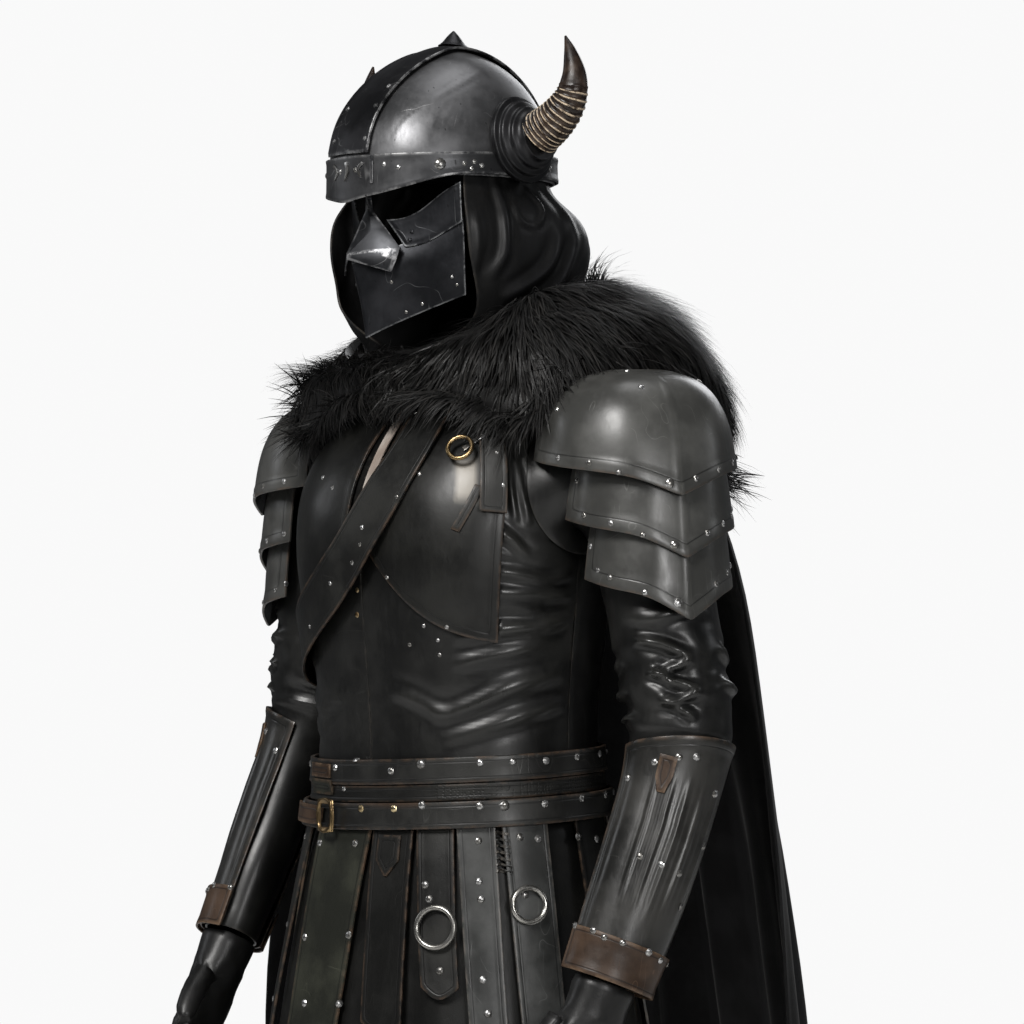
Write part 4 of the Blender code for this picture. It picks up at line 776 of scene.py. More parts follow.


# The edge colour paints scratches and worn edges; on worn edges it is also a painted highlight.
METALS = {
    "bowl": Metal(
        "helmet_steel", (0.095, 0.096, 0.100), (0.165, 0.166, 0.172),
        0.40, (0.45, 0.45, 0.45), 0.003, 0.7, 0.25, 0.75,
    ),
    "comb": Metal(
        "helmet_steel", (0.018, 0.018, 0.020), (0.040, 0.040, 0.044),
        0.40, (0.38, 0.38, 0.38), 0.004, 0.8, 0.3, 0.75,
    ),
    "band": Metal(
        "helmet_steel", (0.050, 0.051, 0.054), (0.100, 0.101, 0.105),
        0.42, (0.40, 0.40, 0.40), 0.003, 1.0, 0.3, 0.75,
    ),
    "boss": Metal(
        "helmet_steel", (0.012, 0.012, 0.013), (0.024, 0.024, 0.026),
        0.38, (0.12, 0.12, 0.13), 0.002, 0.4, 0.25, 0.6,
    ),
    "mask": Metal(
        "mask_steel", (0.018, 0.019, 0.022), (0.036, 0.037, 0.042),
        0.42, (0.36, 0.37, 0.38), 0.0022, 0.6, 0.3, 0.7,
    ),
    "nose": Metal(
        "mask_steel", (0.028, 0.029, 0.032), (0.052, 0.054, 0.059),
        0.42, (0.42, 0.42, 0.43), 0.0016, 0.6, 0.2, 0.75,
    ),
    "rivet": Metal(
        "ring_steel", (0.30, 0.29, 0.27), (0.17, 0.165, 0.155),
        0.30, (0.6, 0.6, 0.6), 0.002, 0.0, 0.2, 0.9,
    ),
    "brass": Metal(
        "brass", (0.42, 0.30, 0.15), (0.22, 0.15, 0.08),
        0.32, (0.75, 0.62, 0.38), 0.003, 0.4, 0.3, 1.0,
    ),
    "ring": Metal(
        "ring_steel", (0.50, 0.49, 0.46), (0.30, 0.29, 0.27),
        0.30, (0.7, 0.7, 0.7), 0.003, 0.4, 0.3, 0.95,
    ),
}
finishes.update({name: metal(name + " metal", look) for name, look in METALS.items()})
print(len(METALS), "metals")

# %% [markdown]
# ### Horn, cloth and fur
#
# The horns are nearly black with cream ridges, and the bare tips are polished. The cape is
# matt wool that hardly shines, with a painted highlight on the tops of its folds. The fur is
# black-brown with a few paler tips, so its strands read a number stored along each one and
# another that is drawn once a strand.

# %% Horn, wool, pale cloth and fur
FIBRES = 900.0
CREAM = (0.62, 0.50, 0.36)


def cloth(name, slot, dark, pale, rough, strength):
    """Two close colours, fibres as bump, and a soft sheen at grazing angles."""
    material, tree, shader = new_material(name)
    fold = use_group(tree, fold_highlight_and_shade)
    base = blended(dark, pale, ramp(noise_of(tree, 24.0, 4.0), 0.4, 0.7))
    # Painted highlight: the tops of folds are made lighter.
    base = blended(base, tuple(value * 1.8 for value in pale), times(fold["Top"], 0.5))
    wire(base, shader["Base Color"])
    wire(rough, shader["Roughness"])
    wire(0.2, shader["Specular IOR Level"])
    wire(0.1, shader["Sheen Weight"])
    wire(0.4, shader["Sheen Roughness"])
    bumped(shader, noise_of(tree, FIBRES, 3.0), strength)
    return Finish(slot, material)


def horn_finish():
    """Dark horn: cream where the stored ridge height is high, streaked along its length."""
    material, tree, shader = new_material("horn")
    broken = ramp(noise_of(tree, 160.0, 3.0, 0.6), 0.34, 0.56)
    cream = times(ramp(value_of(tree, "ridge"), 0.45, 0.8), broken)
    mottled = ramp(noise_of(tree, 60.0, 4.0), 0.4, 0.7)
    base = blended((0.012, 0.007, 0.005), (0.050, 0.030, 0.018), mottled)
    wire(blended(base, CREAM, cream), shader["Base Color"])
    wire(ramp(noise_of(tree, 120.0, 3.0), 0.3, 0.7, 0.28, 0.45), shader["Roughness"])
    bumped(shader, noise_of(tree, 300.0, 3.0, stretch=(1.0, 1.0, 0.3)), 0.35)
    return Finish("horn", material)


def fur_finish():
    """Dark roots, slightly paler tips on some strands, and a soft shine along the hair."""
    material, tree, shader = new_material("fur")
    tip = times(value_of(tree, "along"), ramp(value_of(tree, "tint"), 0.45, 1.0))
    wire(blended((0.0032, 0.0030, 0.0028), (0.018, 0.0165, 0.015), tip), shader["Base Color"])
    wire(ramp(value_of(tree, "tint"), 0.0, 1.0, 0.42, 0.62), shader["Roughness"])
    wire(0.35, shader["Specular IOR Level"])
    wire(0.05, shader["Sheen Weight"])
    bumped(shader, noise_of(tree, 500.0, 3.0), 0.3)
    return Finish("fur", material)


finishes["wool"] = cloth("wool", "cape_wool", (0.0030, 0.0030, 0.0033), (0.0075, 0.0075, 0.0082), 0.80, 0.4)
finishes["pale cloth"] = cloth("pale cloth", "pale_cloth", (0.32, 0.26, 0.22), (0.55, 0.49, 0.44), 0.85, 0.5)
finishes["horn"] = horn_finish()
finishes["fur"] = fur_finish()
print(len(finishes), "finishes")

# %% [markdown]
# ## Where things lie
#
# Rivets, folds and laces are placed by where they are on the wearer: round the trunk, round
# the head or round a shoulder by an angle from the front and a height, and on an arm by how
# far along it and how far round it. The same two numbers serve in two ways. As a ray from
# outside they find the surface of a finished piece, and unrolled flat they measure how far
# a point of a sheet is from a fold's line.

# %% Lines that pieces are wrapped round
class Upright:
    """Places round an upright line: degrees from the front towards the left, and a height."""

    def __init__(self, x, y, z=0.0, turn=0.0, side=1, wide=0.15):
        self.centre = Vector((x, y, z))
        self.turn = math.radians(turn)
        self.side = side
        self.wide = wide

    def flat(self, angle, height):
        return math.radians(angle) * self.wide, height

    def ray(self, u, v):
        """A start well outside and a direction straight in, for a flat place."""
        angle = u / self.wide + self.turn
        away = Vector((self.side * math.sin(angle), -math.cos(angle), 0))
        return self.centre + Vector((0, 0, v)) + away * 0.5, -away

    def spread(self, spots):
        """The flat places of many points."""
        x = (spots[:, 0] - self.centre.x) * self.side
        y = spots[:, 1] - self.centre.y
        angle = np.arctan2(x, -y) - self.turn
        angle = (angle + math.pi) % (2 * math.pi) - math.pi
        return np.column_stack([angle * self.wide, spots[:, 2] - self.centre.z])


ARM_ROWS = np.array((
    (0.00, 0.186, 0.006, -0.078), (0.08, 0.214, 0.008, -0.086), (0.17, 0.243, 0.010, -0.125),
    (0.28, 0.262, 0.013, -0.180), (0.40, 0.276, 0.016, -0.240), (0.50, 0.286, 0.018, -0.292),
    (0.58, 0.293, 0.018, -0.330), (0.66, 0.295, 0.009, -0.372), (0.77, 0.292, -0.013, -0.435),
    (0.88, 0.285, -0.042, -0.510), (1.00, 0.274, -0.078, -0.600),
))
ELBOW = 0.58


class Arm:
    """Places on an arm: the share of its length from the shoulder, and degrees round it,
    0 at the front and 90 outside."""

    def __init__(self, side, long=0.56, wide=0.05):
        rows = ARM_ROWS.copy()
        if side < 0:
            past = (np.clip(rows[:, 0] - ELBOW, 0, None) / (1 - ELBOW)) ** 1.4
            rows[:, 1] = -(rows[:, 1] - 0.006 + 0.030 * past)
            rows[:, 2] += 0.018 - 0.026 * past
        self.along = rows[:, 0]
        self.rows = rows[:, 1:]
        self.side = side
        self.long = long
        self.wide = wide

    def flat(self, along, turn):
        return along * self.long, math.radians(turn) * self.wide

    def axes(self, i):
        """Outward and forward at one stretch of the arm."""
        down = Vector(self.rows[i + 1] - self.rows[i]).normalized()
        out = down.cross(Vector((0, 1, 0))).normalized()
        out = out if out.x * self.side > 0 else -out
        fore = down.cross(out).normalized()
        return out, fore if fore.y < 0 else -fore

    def ray(self, u, v):
        along = min(max(u / self.long, 0), 1)
        i = int(np.clip(np.searchsorted(self.along, along) - 1, 0, len(self.along) - 2))
        share = (along - self.along[i]) / (self.along[i + 1] - self.along[i])
        centre = Vector(self.rows[i] + (self.rows[i + 1] - self.rows[i]) * share)
        out, fore = self.axes(i)
        away = fore * math.cos(v / self.wide) + out * math.sin(v / self.wide)
        return centre + away * 0.3, -away

    def spread(self, spots):
        best = np.full(len(spots), np.inf)
        found = np.zeros((len(spots), 2))
        for i in range(len(self.along) - 1):
            start, step = self.rows[i], self.rows[i + 1] - self.rows[i]
            share = np.clip(((spots - start) @ step) / (step @ step), 0, 1)
            off = spots - start - share[:, None] * step
            away = np.linalg.norm(off, axis=1)
            out, fore = self.axes(i)
            turn = np.arctan2(off @ np.array(out), off @ np.array(fore))
            along = self.along[i] + (self.along[i + 1] - self.along[i]) * share
            near = away < best
            best = np.where(near, away, best)
            found[near] = np.column_stack([along * self.long, turn * self.wide])[near]
        return found


TRUNK = Upright(0, 0)
BACK = Upright(0, 0, turn=180)
BACK_WIDE = Upright(0, 0, turn=180, wide=0.30)
HEAD = Upright(0, -0.038, 0.254, turn=-7, wide=0.11)
ARMS = {"l": Arm(1), "r": Arm(-1)}
SHOULDER_IN = 0.014
SHOULDER_BACK = 0.017
SHOULDER_DOWN = 0.021
LAMES = {}
for number, (x, y) in enumerate(((0.236, 0.011), (0.251, 0.013), (0.262, 0.013)), 1):
    LAMES[number, "l"] = Upright(x, y, turn=69, wide=0.08)
    LAMES[number, "r"] = Upright(
        SHOULDER_IN - x, y + SHOULDER_BACK, -SHOULDER_DOWN, turn=69, side=-1, wide=0.08
    )
print(len(LAMES) + 6, "lines to place things on")

# %% [markdown]
# ## Folds worked one by one
#
# Leather doesn't fall like cloth: it keeps a few firm creases where it is always bent, at
# the flank, the armhole, the elbow and the neck, and is nearly smooth between them. So each
# main crease is drawn as a line with a width and a rise. Across the line the sheet rises in
# a soft ridge and sinks beside it, and along the line the ridge fades at both ends. Simulated
# cloth would give softer, more even folds than real leather shows.

# %% Creases, borders and slackness
Crease = namedtuple("Crease", "path width rise")
MM = 0.001
FAR = 9.0               # farther off than any place on the suit
CREASE_FADE = 0.25      # the share of a crease's length over which each end fades
SINK_AT = 1.55          # the sheet sinks beside a ridge, this many of its widths out
SINK_WIDE = 0.85
SINK_DEEP = 0.5


def smooth_path(points, steps=6):
    """A curve through the points."""
    points = np.array(points, float)
    padded = np.vstack([2 * points[0] - points[1], points, 2 * points[-1] - points[-2]])
    curve = []
    for a, b, c, d in zip(padded, padded[1:], padded[2:], padded[3:]):
        terms = (2 * b, c - a, 2 * a - 5 * b + 4 * c - d, 3 * b - a - 3 * c + d)
        for t in np.linspace(0, 1, steps, endpoint=False):
            curve.append(0.5 * sum(term * t**power for power, term in enumerate(terms)))
    return np.array(curve + [points[-1]])


def path_distance(spots, path):
    """How far each spot lies from a path, and the share of the path its nearest point is at."""
    steps = np.diff(path, axis=0)
    lengths = np.hypot(*steps.T)
    best = np.full(len(spots), FAR)
    along = np.zeros(len(spots))
    before = 0.0
    for start, step, length in zip(path, steps, lengths):
        share = np.clip(((spots - start) @ step) / length**2, 0, 1)
        away = np.hypot(*(spots - start - share[:, None] * step).T)
        along = np.where(away < best, before + share * length, along)
        best = np.minimum(best, away)
        before += length
    return best, along / before


def crease_moves(sheet, line, creases):
    """How far every point of a sheet moves for all the creases on it."""
    spots = line.spread(sheet.places)
    moves = np.zeros(len(spots))
    for crease in creases:
        path = smooth_path([line.flat(*point) for point in crease.path])
        away, along = path_distance(spots, path)
        across = away / (crease.width * MM)
        fade = np.clip(np.minimum(along, 1 - along) / CREASE_FADE, 0.0, 1) ** 0.7
        sink = SINK_DEEP * np.exp(-(((across - SINK_AT) / SINK_WIDE) ** 2))
        moves += crease.rise * MM * fade * (np.exp(-(across**2)) - sink)
    return moves


def slack(sheet, size, rise, stretch=(1.0, 1.0, 1.0)):
    """A soft uneven lie: a little up and down over the given size."""
    scaled = sheet.places / (np.array(stretch) * size)
    return np.array([noise.noise(Vector(place)) for place in scaled]) * rise


def border(sheet, wide, rise, soft=0.002):
    """A band along the edge that stands out a little."""
    return rise * np.clip((wide - sheet.distance) / soft + 0.5, 0, 1)


def away_from_edge(sheet, reach=0.012):
    """0 at the edge and 1 well inside, so that pieces still meet at their seams."""
    share = np.clip(sheet.distance / reach, 0, 1)
    return share * share * (3 - 2 * share)


def mirrored(creases, shift=2.0, lower=0.004):
    """The same kind of creases on the other side: a little elsewhere, wider and less high."""
    other = []
    for i, crease in enumerate(creases):
        path = [(-angle + shift * (-1) ** i, height - lower) for angle, height in crease.path]
        other.append(Crease(path, crease.width * 1.1, crease.rise * 0.9))
    return other


print("crease helpers ready")

# %% [markdown]
# ## Helmet, mask and hood
#
# A smith raises the bowl from one sheet and leaves it slightly uneven under the hammer, so
# the smooth bowl is dented by a fraction of a millimetre. The brow band and the comb have
# beads along their edges, which catch the light, and the paler worn steel there is also a
# painted highlight. The nose plate is folded to flat facets, so it isn't rounded at all, and
# its folds are rubbed bright, which also paints the highlight along them. The hood hangs in
# a few long folds from the helmet's rim to the neck, with one tight loop at the ear.

# %% Helmet pieces
STEEL = 0.002
BOWL_LINES = (
    Crease((
        (27.0, 0.012), (32.0, 0.035), (42.9, 0.0558), (59.5, 0.0752), (80, 0.092), (100, 0.1014),
    ), 2.2, 0.9),
    Crease(((59.1, 0.0673), (51.6, 0.0396), (48.1, 0.0118)), 1.8, -0.6),
    Crease(((-27.0, 0.012), (-33.0, 0.036), (-44, 0.057), (-60, 0.076), (-100, 0.101)), 2.2, 0.9),
    Crease(((126, 0.060), (134, 0.034), (131, 0.012)), 1.8, -0.6),
)


def bowl_shape(sheet):
    """Hammered all over, with the edges of the lapped plates standing out as lines."""
    return crease_moves(sheet, HEAD, BOWL_LINES) + hammered(sheet)


def hammered(sheet):
    return slack(sheet, 0.035, 0.0005) * away_from_edge(sheet, 0.006)


def beaded(sheet):
    """A round bead along the edge."""
    return 0.0014 * np.exp(-(((sheet.distance - 0.0022) / 0.0018) ** 2))


def band_edges(sheet):
    return border(sheet, 0.0040, 0.0007, 0.0012) + slack(sheet, 0.03, 0.0003)


dressed_wall("helmet_bowl", STEEL, 3, "bowl", bowl_shape, hold=0.6)
dressed_wall("helmet_brow_band", STEEL, 3, "band", band_edges, hold=0.6)
dressed_wall("helmet_comb", STEEL, 3, "comb", beaded, hold=0.6)
dressed_solid("helmet_finial", 2, "comb")
for side in "lr":
    dressed_solid("horn_boss_" + side, 2, "boss")
    dressed_wall("cheek_guard_" + side, STEEL, 3, "mask", band_edges, hold=0.7)
dressed_wall("mask_lower", STEEL, 3, "mask", hammered, sharp=30, hold=0.9)
# The nose's folds are measured as edges too, so its pale worn steel, partly a painted highlight, runs along
# them.
dressed_wall("mask_nose", STEEL, 1, "nose", sharp=12, ridges=14, rounding=0.0004)

# %% Hood
LEATHER = 0.0025
CLOTH = 0.0012
HOOD_FOLDS = (
    Crease(((86.8, -0.010), (86.7, -0.042), (88.2, -0.095), (80.5, -0.126)), 6, 3.0),
    Crease(((70, -0.050), (72, -0.090), (66, -0.130)), 7, 2.0),
    Crease(((126.6, -0.070), (117, -0.113), (88.9, -0.147)), 7, 4.0),
    Crease(((140.1, -0.067), (129.4, -0.122), (108, -0.156)), 7, 3.5),
    Crease(((158, -0.080), (146, -0.132), (126, -0.168)), 8, 3.5),
    Crease(((109, -0.026), (115.5, -0.044), (113, -0.060), (108, -0.068)), 3.5, 2.8),
    Crease(((108, -0.068), (99.7, -0.064), (95.7, -0.050), (101.3, -0.036)), 3.2, 1.8),
    Crease(((128, -0.010), (134, -0.045), (136, -0.085)), 7, 2.2),
    Crease(((104, 0.000), (105, -0.020), (98, -0.034)), 5, 1.6),
)


def hood_shape(sheet):
    left = crease_moves(sheet, HEAD, HOOD_FOLDS)
    right = crease_moves(sheet, HEAD, mirrored(HOOD_FOLDS, 3.0, 0.003))
    return (left + right + slack(sheet, 0.05, 0.0016)) * away_from_edge(sheet, 0.010)


dressed_wall("hood", LEATHER, 3, "hood", hood_shape, under=("helmet_bowl", "helmet_brow_band"))

# %% [markdown]
# ## Jerkin, chest plates and straps
#
# The jerkin is thin leather pulled in by the belt, so its creases run from the flank down
# and forwards to the waist, with upright pleats in front of the armhole. The chest plates
# are firm and smooth, with a line pressed along their edges. The straps lie flat, only a
# little uneven. A soft pale patch is painted on the left chest plate as a highlight.

# %% Jerkin
FLANK_FOLDS = (
    Crease(((44, -0.182), (56, -0.178), (72, -0.186), (84, -0.180)), 7, 4.0),
    Crease(((42, -0.200), (55, -0.198), (70, -0.200), (86, -0.205)), 8, 4.5),
    Crease(((46, -0.216), (58, -0.212), (74, -0.218)), 7, 3.5),
    Crease(((40, -0.247), (55, -0.238), (72, -0.232), (88, -0.222)), 9, 4.0),
    Crease(((38, -0.275), (55, -0.262), (75, -0.250)), 8, 3.0),
    Crease(((30, -0.330), (45, -0.318), (62, -0.296), (84, -0.280)), 9, 3.5),
    Crease(((34, -0.352), (52, -0.338), (72, -0.322), (88, -0.312)), 8, 3.0),
    Crease(((12, -0.300), (26, -0.312), (40, -0.330)), 8, 2.5),
    Crease(((48, -0.118), (56, -0.132), (64, -0.150)), 5, 3.0),
    Crease(((49, -0.135), (58, -0.143), (66, -0.160)), 5, 3.0),
    Crease(((58, -0.030), (60, -0.060), (60.5, -0.095), (62, -0.125)), 4, 3.5),
    Crease(((61.5, -0.030), (63, -0.062), (64, -0.100), (66, -0.130)), 4, 3.5),
    Crease(((65, -0.030), (66.5, -0.070), (67.5, -0.110)), 4, 3.5),
)
BACK_FOLDS = (
    Crease(((-70, -0.210), (-48, -0.224), (-24, -0.222)), 9, 3.5),
    Crease(((-78, -0.262), (-52, -0.276), (-30, -0.280)), 9, 3.5),
    Crease(((72, -0.216), (50, -0.230), (22, -0.226)), 9, 3.5),
    Crease(((76, -0.268), (56, -0.280), (34, -0.286)), 9, 3.5),
    Crease(((-36, -0.318), (0, -0.332), (34, -0.320)), 10, 3.0),
    Crease(((-20, -0.346), (6, -0.354), (30, -0.346)), 8, 2.5),
    Crease(((-62, -0.070), (-58, -0.120), (-50, -0.160)), 7, 2.5),
    Crease(((62, -0.070), (57, -0.120), (50, -0.160)), 7, 2.5),
)
CHEST_COVERS = (
    "breast_plate_l", "breast_plate_r", "baldric", "shoulder_strap",
    "belt_upper", "belt_middle", "belt_lower", "neck_strip",
)


Panel = namedtuple("Panel", "name levels line folds size rise")
JERKIN = (
    Panel("front_l", 4, TRUNK, FLANK_FOLDS, 0.06, 0.0018),
    Panel("front_r", 3, TRUNK, mirrored(FLANK_FOLDS), 0.06, 0.0018),
    Panel("back", 2, BACK, BACK_FOLDS, 0.07, 0.0020),
)


def jerkin_shape(panel):
    """The creases of one panel of the jerkin, and a soft uneven lie between them."""

    def shape(sheet):
        moves = crease_moves(sheet, panel.line, panel.folds) + slack(sheet, panel.size, panel.rise)
        return moves * away_from_edge(sheet)

    return shape


for panel in JERKIN:
    shape = jerkin_shape(panel)
    dressed_wall("jerkin_" + panel.name, LEATHER, panel.levels, "jerkin", shape, under=CHEST_COVERS)
dressed_wall("neck_strip", CLOTH, 2, "pale cloth", rounding=0)

# %% Chest plates and straps over the chest
PLATE = 0.003
STRAP = 0.003
# Where the painted highlight patch on the left chest plate lies, and half its size.
HIGHLIGHT_MIDDLE = (45.0, -0.083)
HIGHLIGHT_HALF = (3.8, 0.021)


def chest_shape(sheet):
    return border(sheet, 0.0080, 0.0006) + slack(sheet, 0.05, 0.0009) * away_from_edge(sheet)


def chest_highlight(sheet):
    """A painted highlight: a pale patch, soft at its edges."""
    spots = TRUNK.spread(sheet.places)
    middle = TRUNK.flat(*HIGHLIGHT_MIDDLE)
    half = TRUNK.flat(*HIGHLIGHT_HALF)
    off = np.maximum(abs(spots[:, 0] - middle[0]) / half[0], abs(spots[:, 1] - middle[1]) / half[1])
    return {"pale": np.clip((1.15 - off) / 0.5, 0, 1) * 0.7}


def strap_shape(sheet):
    return border(sheet, 0.0045, 0.0004, 0.0012) + slack(sheet, 0.045, 0.0009)


for side, marks in (("l", chest_highlight), ("r", None)):
    dressed_wall("breast_plate_" + side, PLATE, 3, "chest", chest_shape, marks=marks)
dressed_wall("baldric", STRAP, 3, "strap", strap_shape)
dressed_wall("shoulder_strap", STRAP, 3, "strap", strap_shape)
dressed_solid("strap_hook", 2, "brass", sharp=90)

# %% [markdown]
# ## Arms
#
# The sleeve is crushed into sharp zigzag folds just above the bracer. The shoulder plates
# are boiled leather, hard and polished, each with a band along its edge and a keel down the
# middle. The bracer has ribs along it and a raised rim, and its cuff is undyed brown
# leather. The gloves are thin, so they are crumpled all over.

# %% Sleeves
ELBOW_FOLDS = (
    Crease(((0.405, 5), (0.430, 40), (0.462, 66)), 6, 5.0),
    Crease(((0.462, 66), (0.478, 30), (0.470, 16)), 5.5, 4.5),
    Crease(((0.470, 16), (0.500, 40), (0.526, 69)), 6, 5.0),
    Crease(((0.526, 69), (0.540, 50), (0.536, 23)), 5.5, 4.5),
    Crease(((0.536, 23), (0.560, 45), (0.585, 62)), 6, 4.5),
    Crease(((0.350, -10), (0.372, 30), (0.366, 70), (0.385, 110)), 8, 3.5),
    Crease(((0.440, 100), (0.470, 130), (0.462, 160)), 7, 4.0),
    Crease(((0.510, 95), (0.530, 130), (0.520, 165)), 7, 4.0),
    Crease(((0.420, -95), (0.450, -55), (0.440, -20)), 7, 4.0),
    Crease(((0.485, -100), (0.512, -60), (0.500, -20)), 7, 4.5),
    Crease(((0.550, -90), (0.565, -50), (0.555, -12)), 6, 4.0),
    Crease(((0.300, 20), (0.320, 60), (0.312, 100)), 9, 3.0),
)


FOLD_SHIFT = {"l": 0.0, "r": 0.012}


def sleeve_shape(side):
    """The elbow's folds, a little farther down on the right arm."""
    folds = []
    for fold in ELBOW_FOLDS:
        folds.append(fold._replace(path=[(along + FOLD_SHIFT[side], turn) for along, turn in fold.path]))

    def shape(sheet):
        moves = crease_moves(sheet, ARMS[side], folds) + slack(sheet, 0.04, 0.0022)
        return moves * away_from_edge(sheet)

    return shape


for side, levels in (("l", 3), ("r", 2)):
    covers = [f"pauldron_{number}_{side}" for number in (1, 2, 3)] + ["vambrace_" + side]
    dressed_wall("sleeve_" + side, LEATHER, levels, "jerkin", sleeve_shape(side), under=covers)

# %% Shoulder plates
PLATE_BAND = 0.0125
KEEL = [Crease(((0, 0.060), (0, -0.230)), 2.6, 1.0)]


def lame_shape(line):
    """A raised band along the edge, and a keel that stands out a little more."""

    def shape(sheet):
        band = border(sheet, PLATE_BAND, 0.0009)
        dents = slack(sheet, 0.045, 0.0008) * away_from_edge(sheet, 0.02)
        return band + dents + crease_moves(sheet, line, KEEL)

    return shape


for side in "lr":
    for number in (1, 2, 3):
        node, line = f"pauldron_{number}_{side}", LAMES[number, side]
        dressed_wall(node, PLATE, 3, "shoulder", lame_shape(line), keel=line)

# %% Bracers, cuffs and gloves
RIB_TURNS = (24, 46, 68, 90, 112, -20, -50)
RIBS = [Crease(((0.690, turn), (0.78, turn - 1), (0.90, turn - 3)), 3.4, 1.5) for turn in RIB_TURNS]


def bracer_shape(side):
    """Ribs along the bracer, drawn towards the front as it narrows, and a raised rim."""

    def shape(sheet):
        ribbed = crease_moves(sheet, ARMS[side], RIBS) * away_from_edge(sheet, 0.02)
        return ribbed + border(sheet, 0.0085, 0.0011, 0.0015)

    return shape


def cuff_shape(sheet):
    return border(sheet, 0.0060, 0.0011, 0.0015) + slack(sheet, 0.03, 0.0006)


def glove_shape(sheet):
    """Thin leather crumples across the wrist and the knuckles."""
    wrinkled = slack(sheet, 0.016, 0.0013, (1.6, 1.6, 0.6))
    return wrinkled + slack(sheet, 0.007, 0.0005)


for side in "lr":
    dressed_wall("vambrace_" + side, LEATHER, 3, "bracer", bracer_shape(side))
    dressed_wall("wrist_cuff_" + side, LEATHER, 3, "brown", cuff_shape)
    dressed_solid("glove_" + side, 2, "glove", sharp=60, shape=glove_shape)

# %% [markdown]
# ## Belts and skirt
#
# Two thick belts hold a thin panel between them: plain in front, stamped with dots at the
# side. The skirt is a pleated leather underskirt with straps hanging over it, each cut from
# a different hide, so one is olive, one nearly black and two are worn grey. Every strap has
# a line pressed beside its edge and hangs a little twisted.

# %% Belts
BELT = 0.0045
PLAIN_FRONT = (-60, 34)     # degrees round the trunk between which the panel has no dots
BROWN_FRONT = (-9, 29)
BROWN_WIDE = 0.013


def angles_of(sheet):
    """Degrees round the trunk from the front, one a point."""
    return np.degrees(TRUNK.spread(sheet.places)[:, 0] / TRUNK.wide)


def belt_marks(sheet):
    """Dots are stamped on the panel's side, and its front is left plain."""
    angle = angles_of(sheet)
    inside = np.clip(sheet.distance / 0.002 - 0.4, 0, 1)
    return {"stipple": ((angle < PLAIN_FRONT[0]) | (angle > PLAIN_FRONT[1])) * inside}


def lower_marks(sheet):
    """A brown strip shows along the top of the lower belt in front."""
    angle, height = angles_of(sheet), sheet.places[:, 2]
    top = np.clip((height - height.max() + BROWN_WIDE) / 0.002, 0, 1)
    return {"brown": top * ((angle > BROWN_FRONT[0]) & (angle < BROWN_FRONT[1])) * 0.8}


def belt_shape(sheet):
    return border(sheet, 0.0042, 0.0005, 0.0012) + slack(sheet, 0.05, 0.0006)


dressed_wall("belt_upper", BELT, 2, "belt", belt_shape, rounding=0.001)
dressed_wall("belt_middle", LEATHER, 3, "strap", belt_shape, marks=belt_marks)
dressed_wall("belt_lower", BELT, 2, "belt", belt_shape, rounding=0.001, marks=lower_marks)
dressed_solid("belt_buckle", 2, "brass", sharp=70)
dressed_wall("belt_strap_end", STRAP, 3, "brown", strap_shape)

# %% Skirt
TWIST_REACH = 0.25
STRAP_FINISH = {
    "skirt_strap_1": "olive",
    "skirt_strap_2": "dark strap",
    "skirt_ring_strap_1": "strap",
    "skirt_strap_3": "grey strap",
    "skirt_ring_strap_2": "grey strap",
    "skirt_strap_4": "dark strap",
    "skirt_strap_5": "strap",
    "skirt_strap_6": "olive",
    "skirt_strap_7": "dark strap",
    "skirt_strap_8": "grey strap",
    "skirt_strap_9": "strap",
    "skirt_strap_10": "olive",
}


def skirt_slack(sheet):
    return slack(sheet, 0.08, 0.004, (1.0, 1.0, 2.2)) * away_from_edge(sheet, 0.02)


def hanging(sheet):
    """A strap's pressed border, and a slow twist that is nothing at its top."""
    height = sheet.places[:, 2]
    drop = np.clip((height.max() - height) / TWIST_REACH, 0, 1)
    return border(sheet, 0.0055, 0.0005, 0.0012) + slack(sheet, 0.07, 0.0022, (1.0, 1.0, 2.0)) * drop


dressed_wall("underskirt", LEATHER, 2, "skirt", skirt_slack)
for node, look in STRAP_FINISH.items():
    dressed_wall(node, STRAP, 3, look, hanging)
for number in (1, 2):
    dressed_solid(f"skirt_ring_{number}", 2, "ring", sharp=90)

# %% [markdown]
# ## Cape
#
# The cape is one heavy piece of fulled wool that hangs from under the fur in long folds.
# The broadest of them are already in the solid. Narrower ones are worked in between, and
# the small unevenness that such a weight of cloth keeps.

# %% Cape
CAPE_LINES = (
    Crease(((-62, -0.30), (-66, -0.62), (-72, -1.12)), 20, 9),
    Crease(((-44, -0.26), (-47, -0.60), (-52, -1.12)), 16, 10),
    Crease(((-27, -0.28), (-30, -0.66), (-31, -1.12)), 19, 8),
    Crease(((-12, -0.24), (-12, -0.60), (-14, -1.12)), 15, 10),
    Crease(((3, -0.30), (4, -0.70), (3, -1.12)), 18, 8),
    Crease(((19, -0.25), (20, -0.60), (22, -1.12)), 16, 10),
    Crease(((34, -0.28), (37, -0.66), (41, -1.12)), 20, 8),
    Crease(((50, -0.26), (54, -0.60), (60, -1.12)), 16, 9),
    Crease(((66, -0.34), (70, -0.70), (76, -1.12)), 18, 7),
)


WOOL = 0.003
FOLDS_FROM = -0.24
FOLDS_GROW = 0.35


def cape_shape(sheet):
    """Long folds between those of the solid; they keep their depth down to the hem."""
    drop = np.clip((FOLDS_FROM - sheet.places[:, 2]) / FOLDS_GROW, 0, 1)
    soft = slack(sheet, 0.05, 0.0035, (1.0, 1.0, 4.0)) * away_from_edge(sheet, 0.02)
    return crease_moves(sheet, BACK_WIDE, CAPE_LINES) * drop + soft


dressed_wall("cape", WOOL, 2, "wool", cape_shape, hold=0.4)

# %% [markdown]
# ## Trees that grow small things
#
# Rivets and hairs repeat by the hundred, so Geometry Nodes make them: one tree a kind, with
# named sizes and a fixed seed. A tree is run once on its carrier, and its result is kept as
# a plain mesh, because instances don't survive an export.

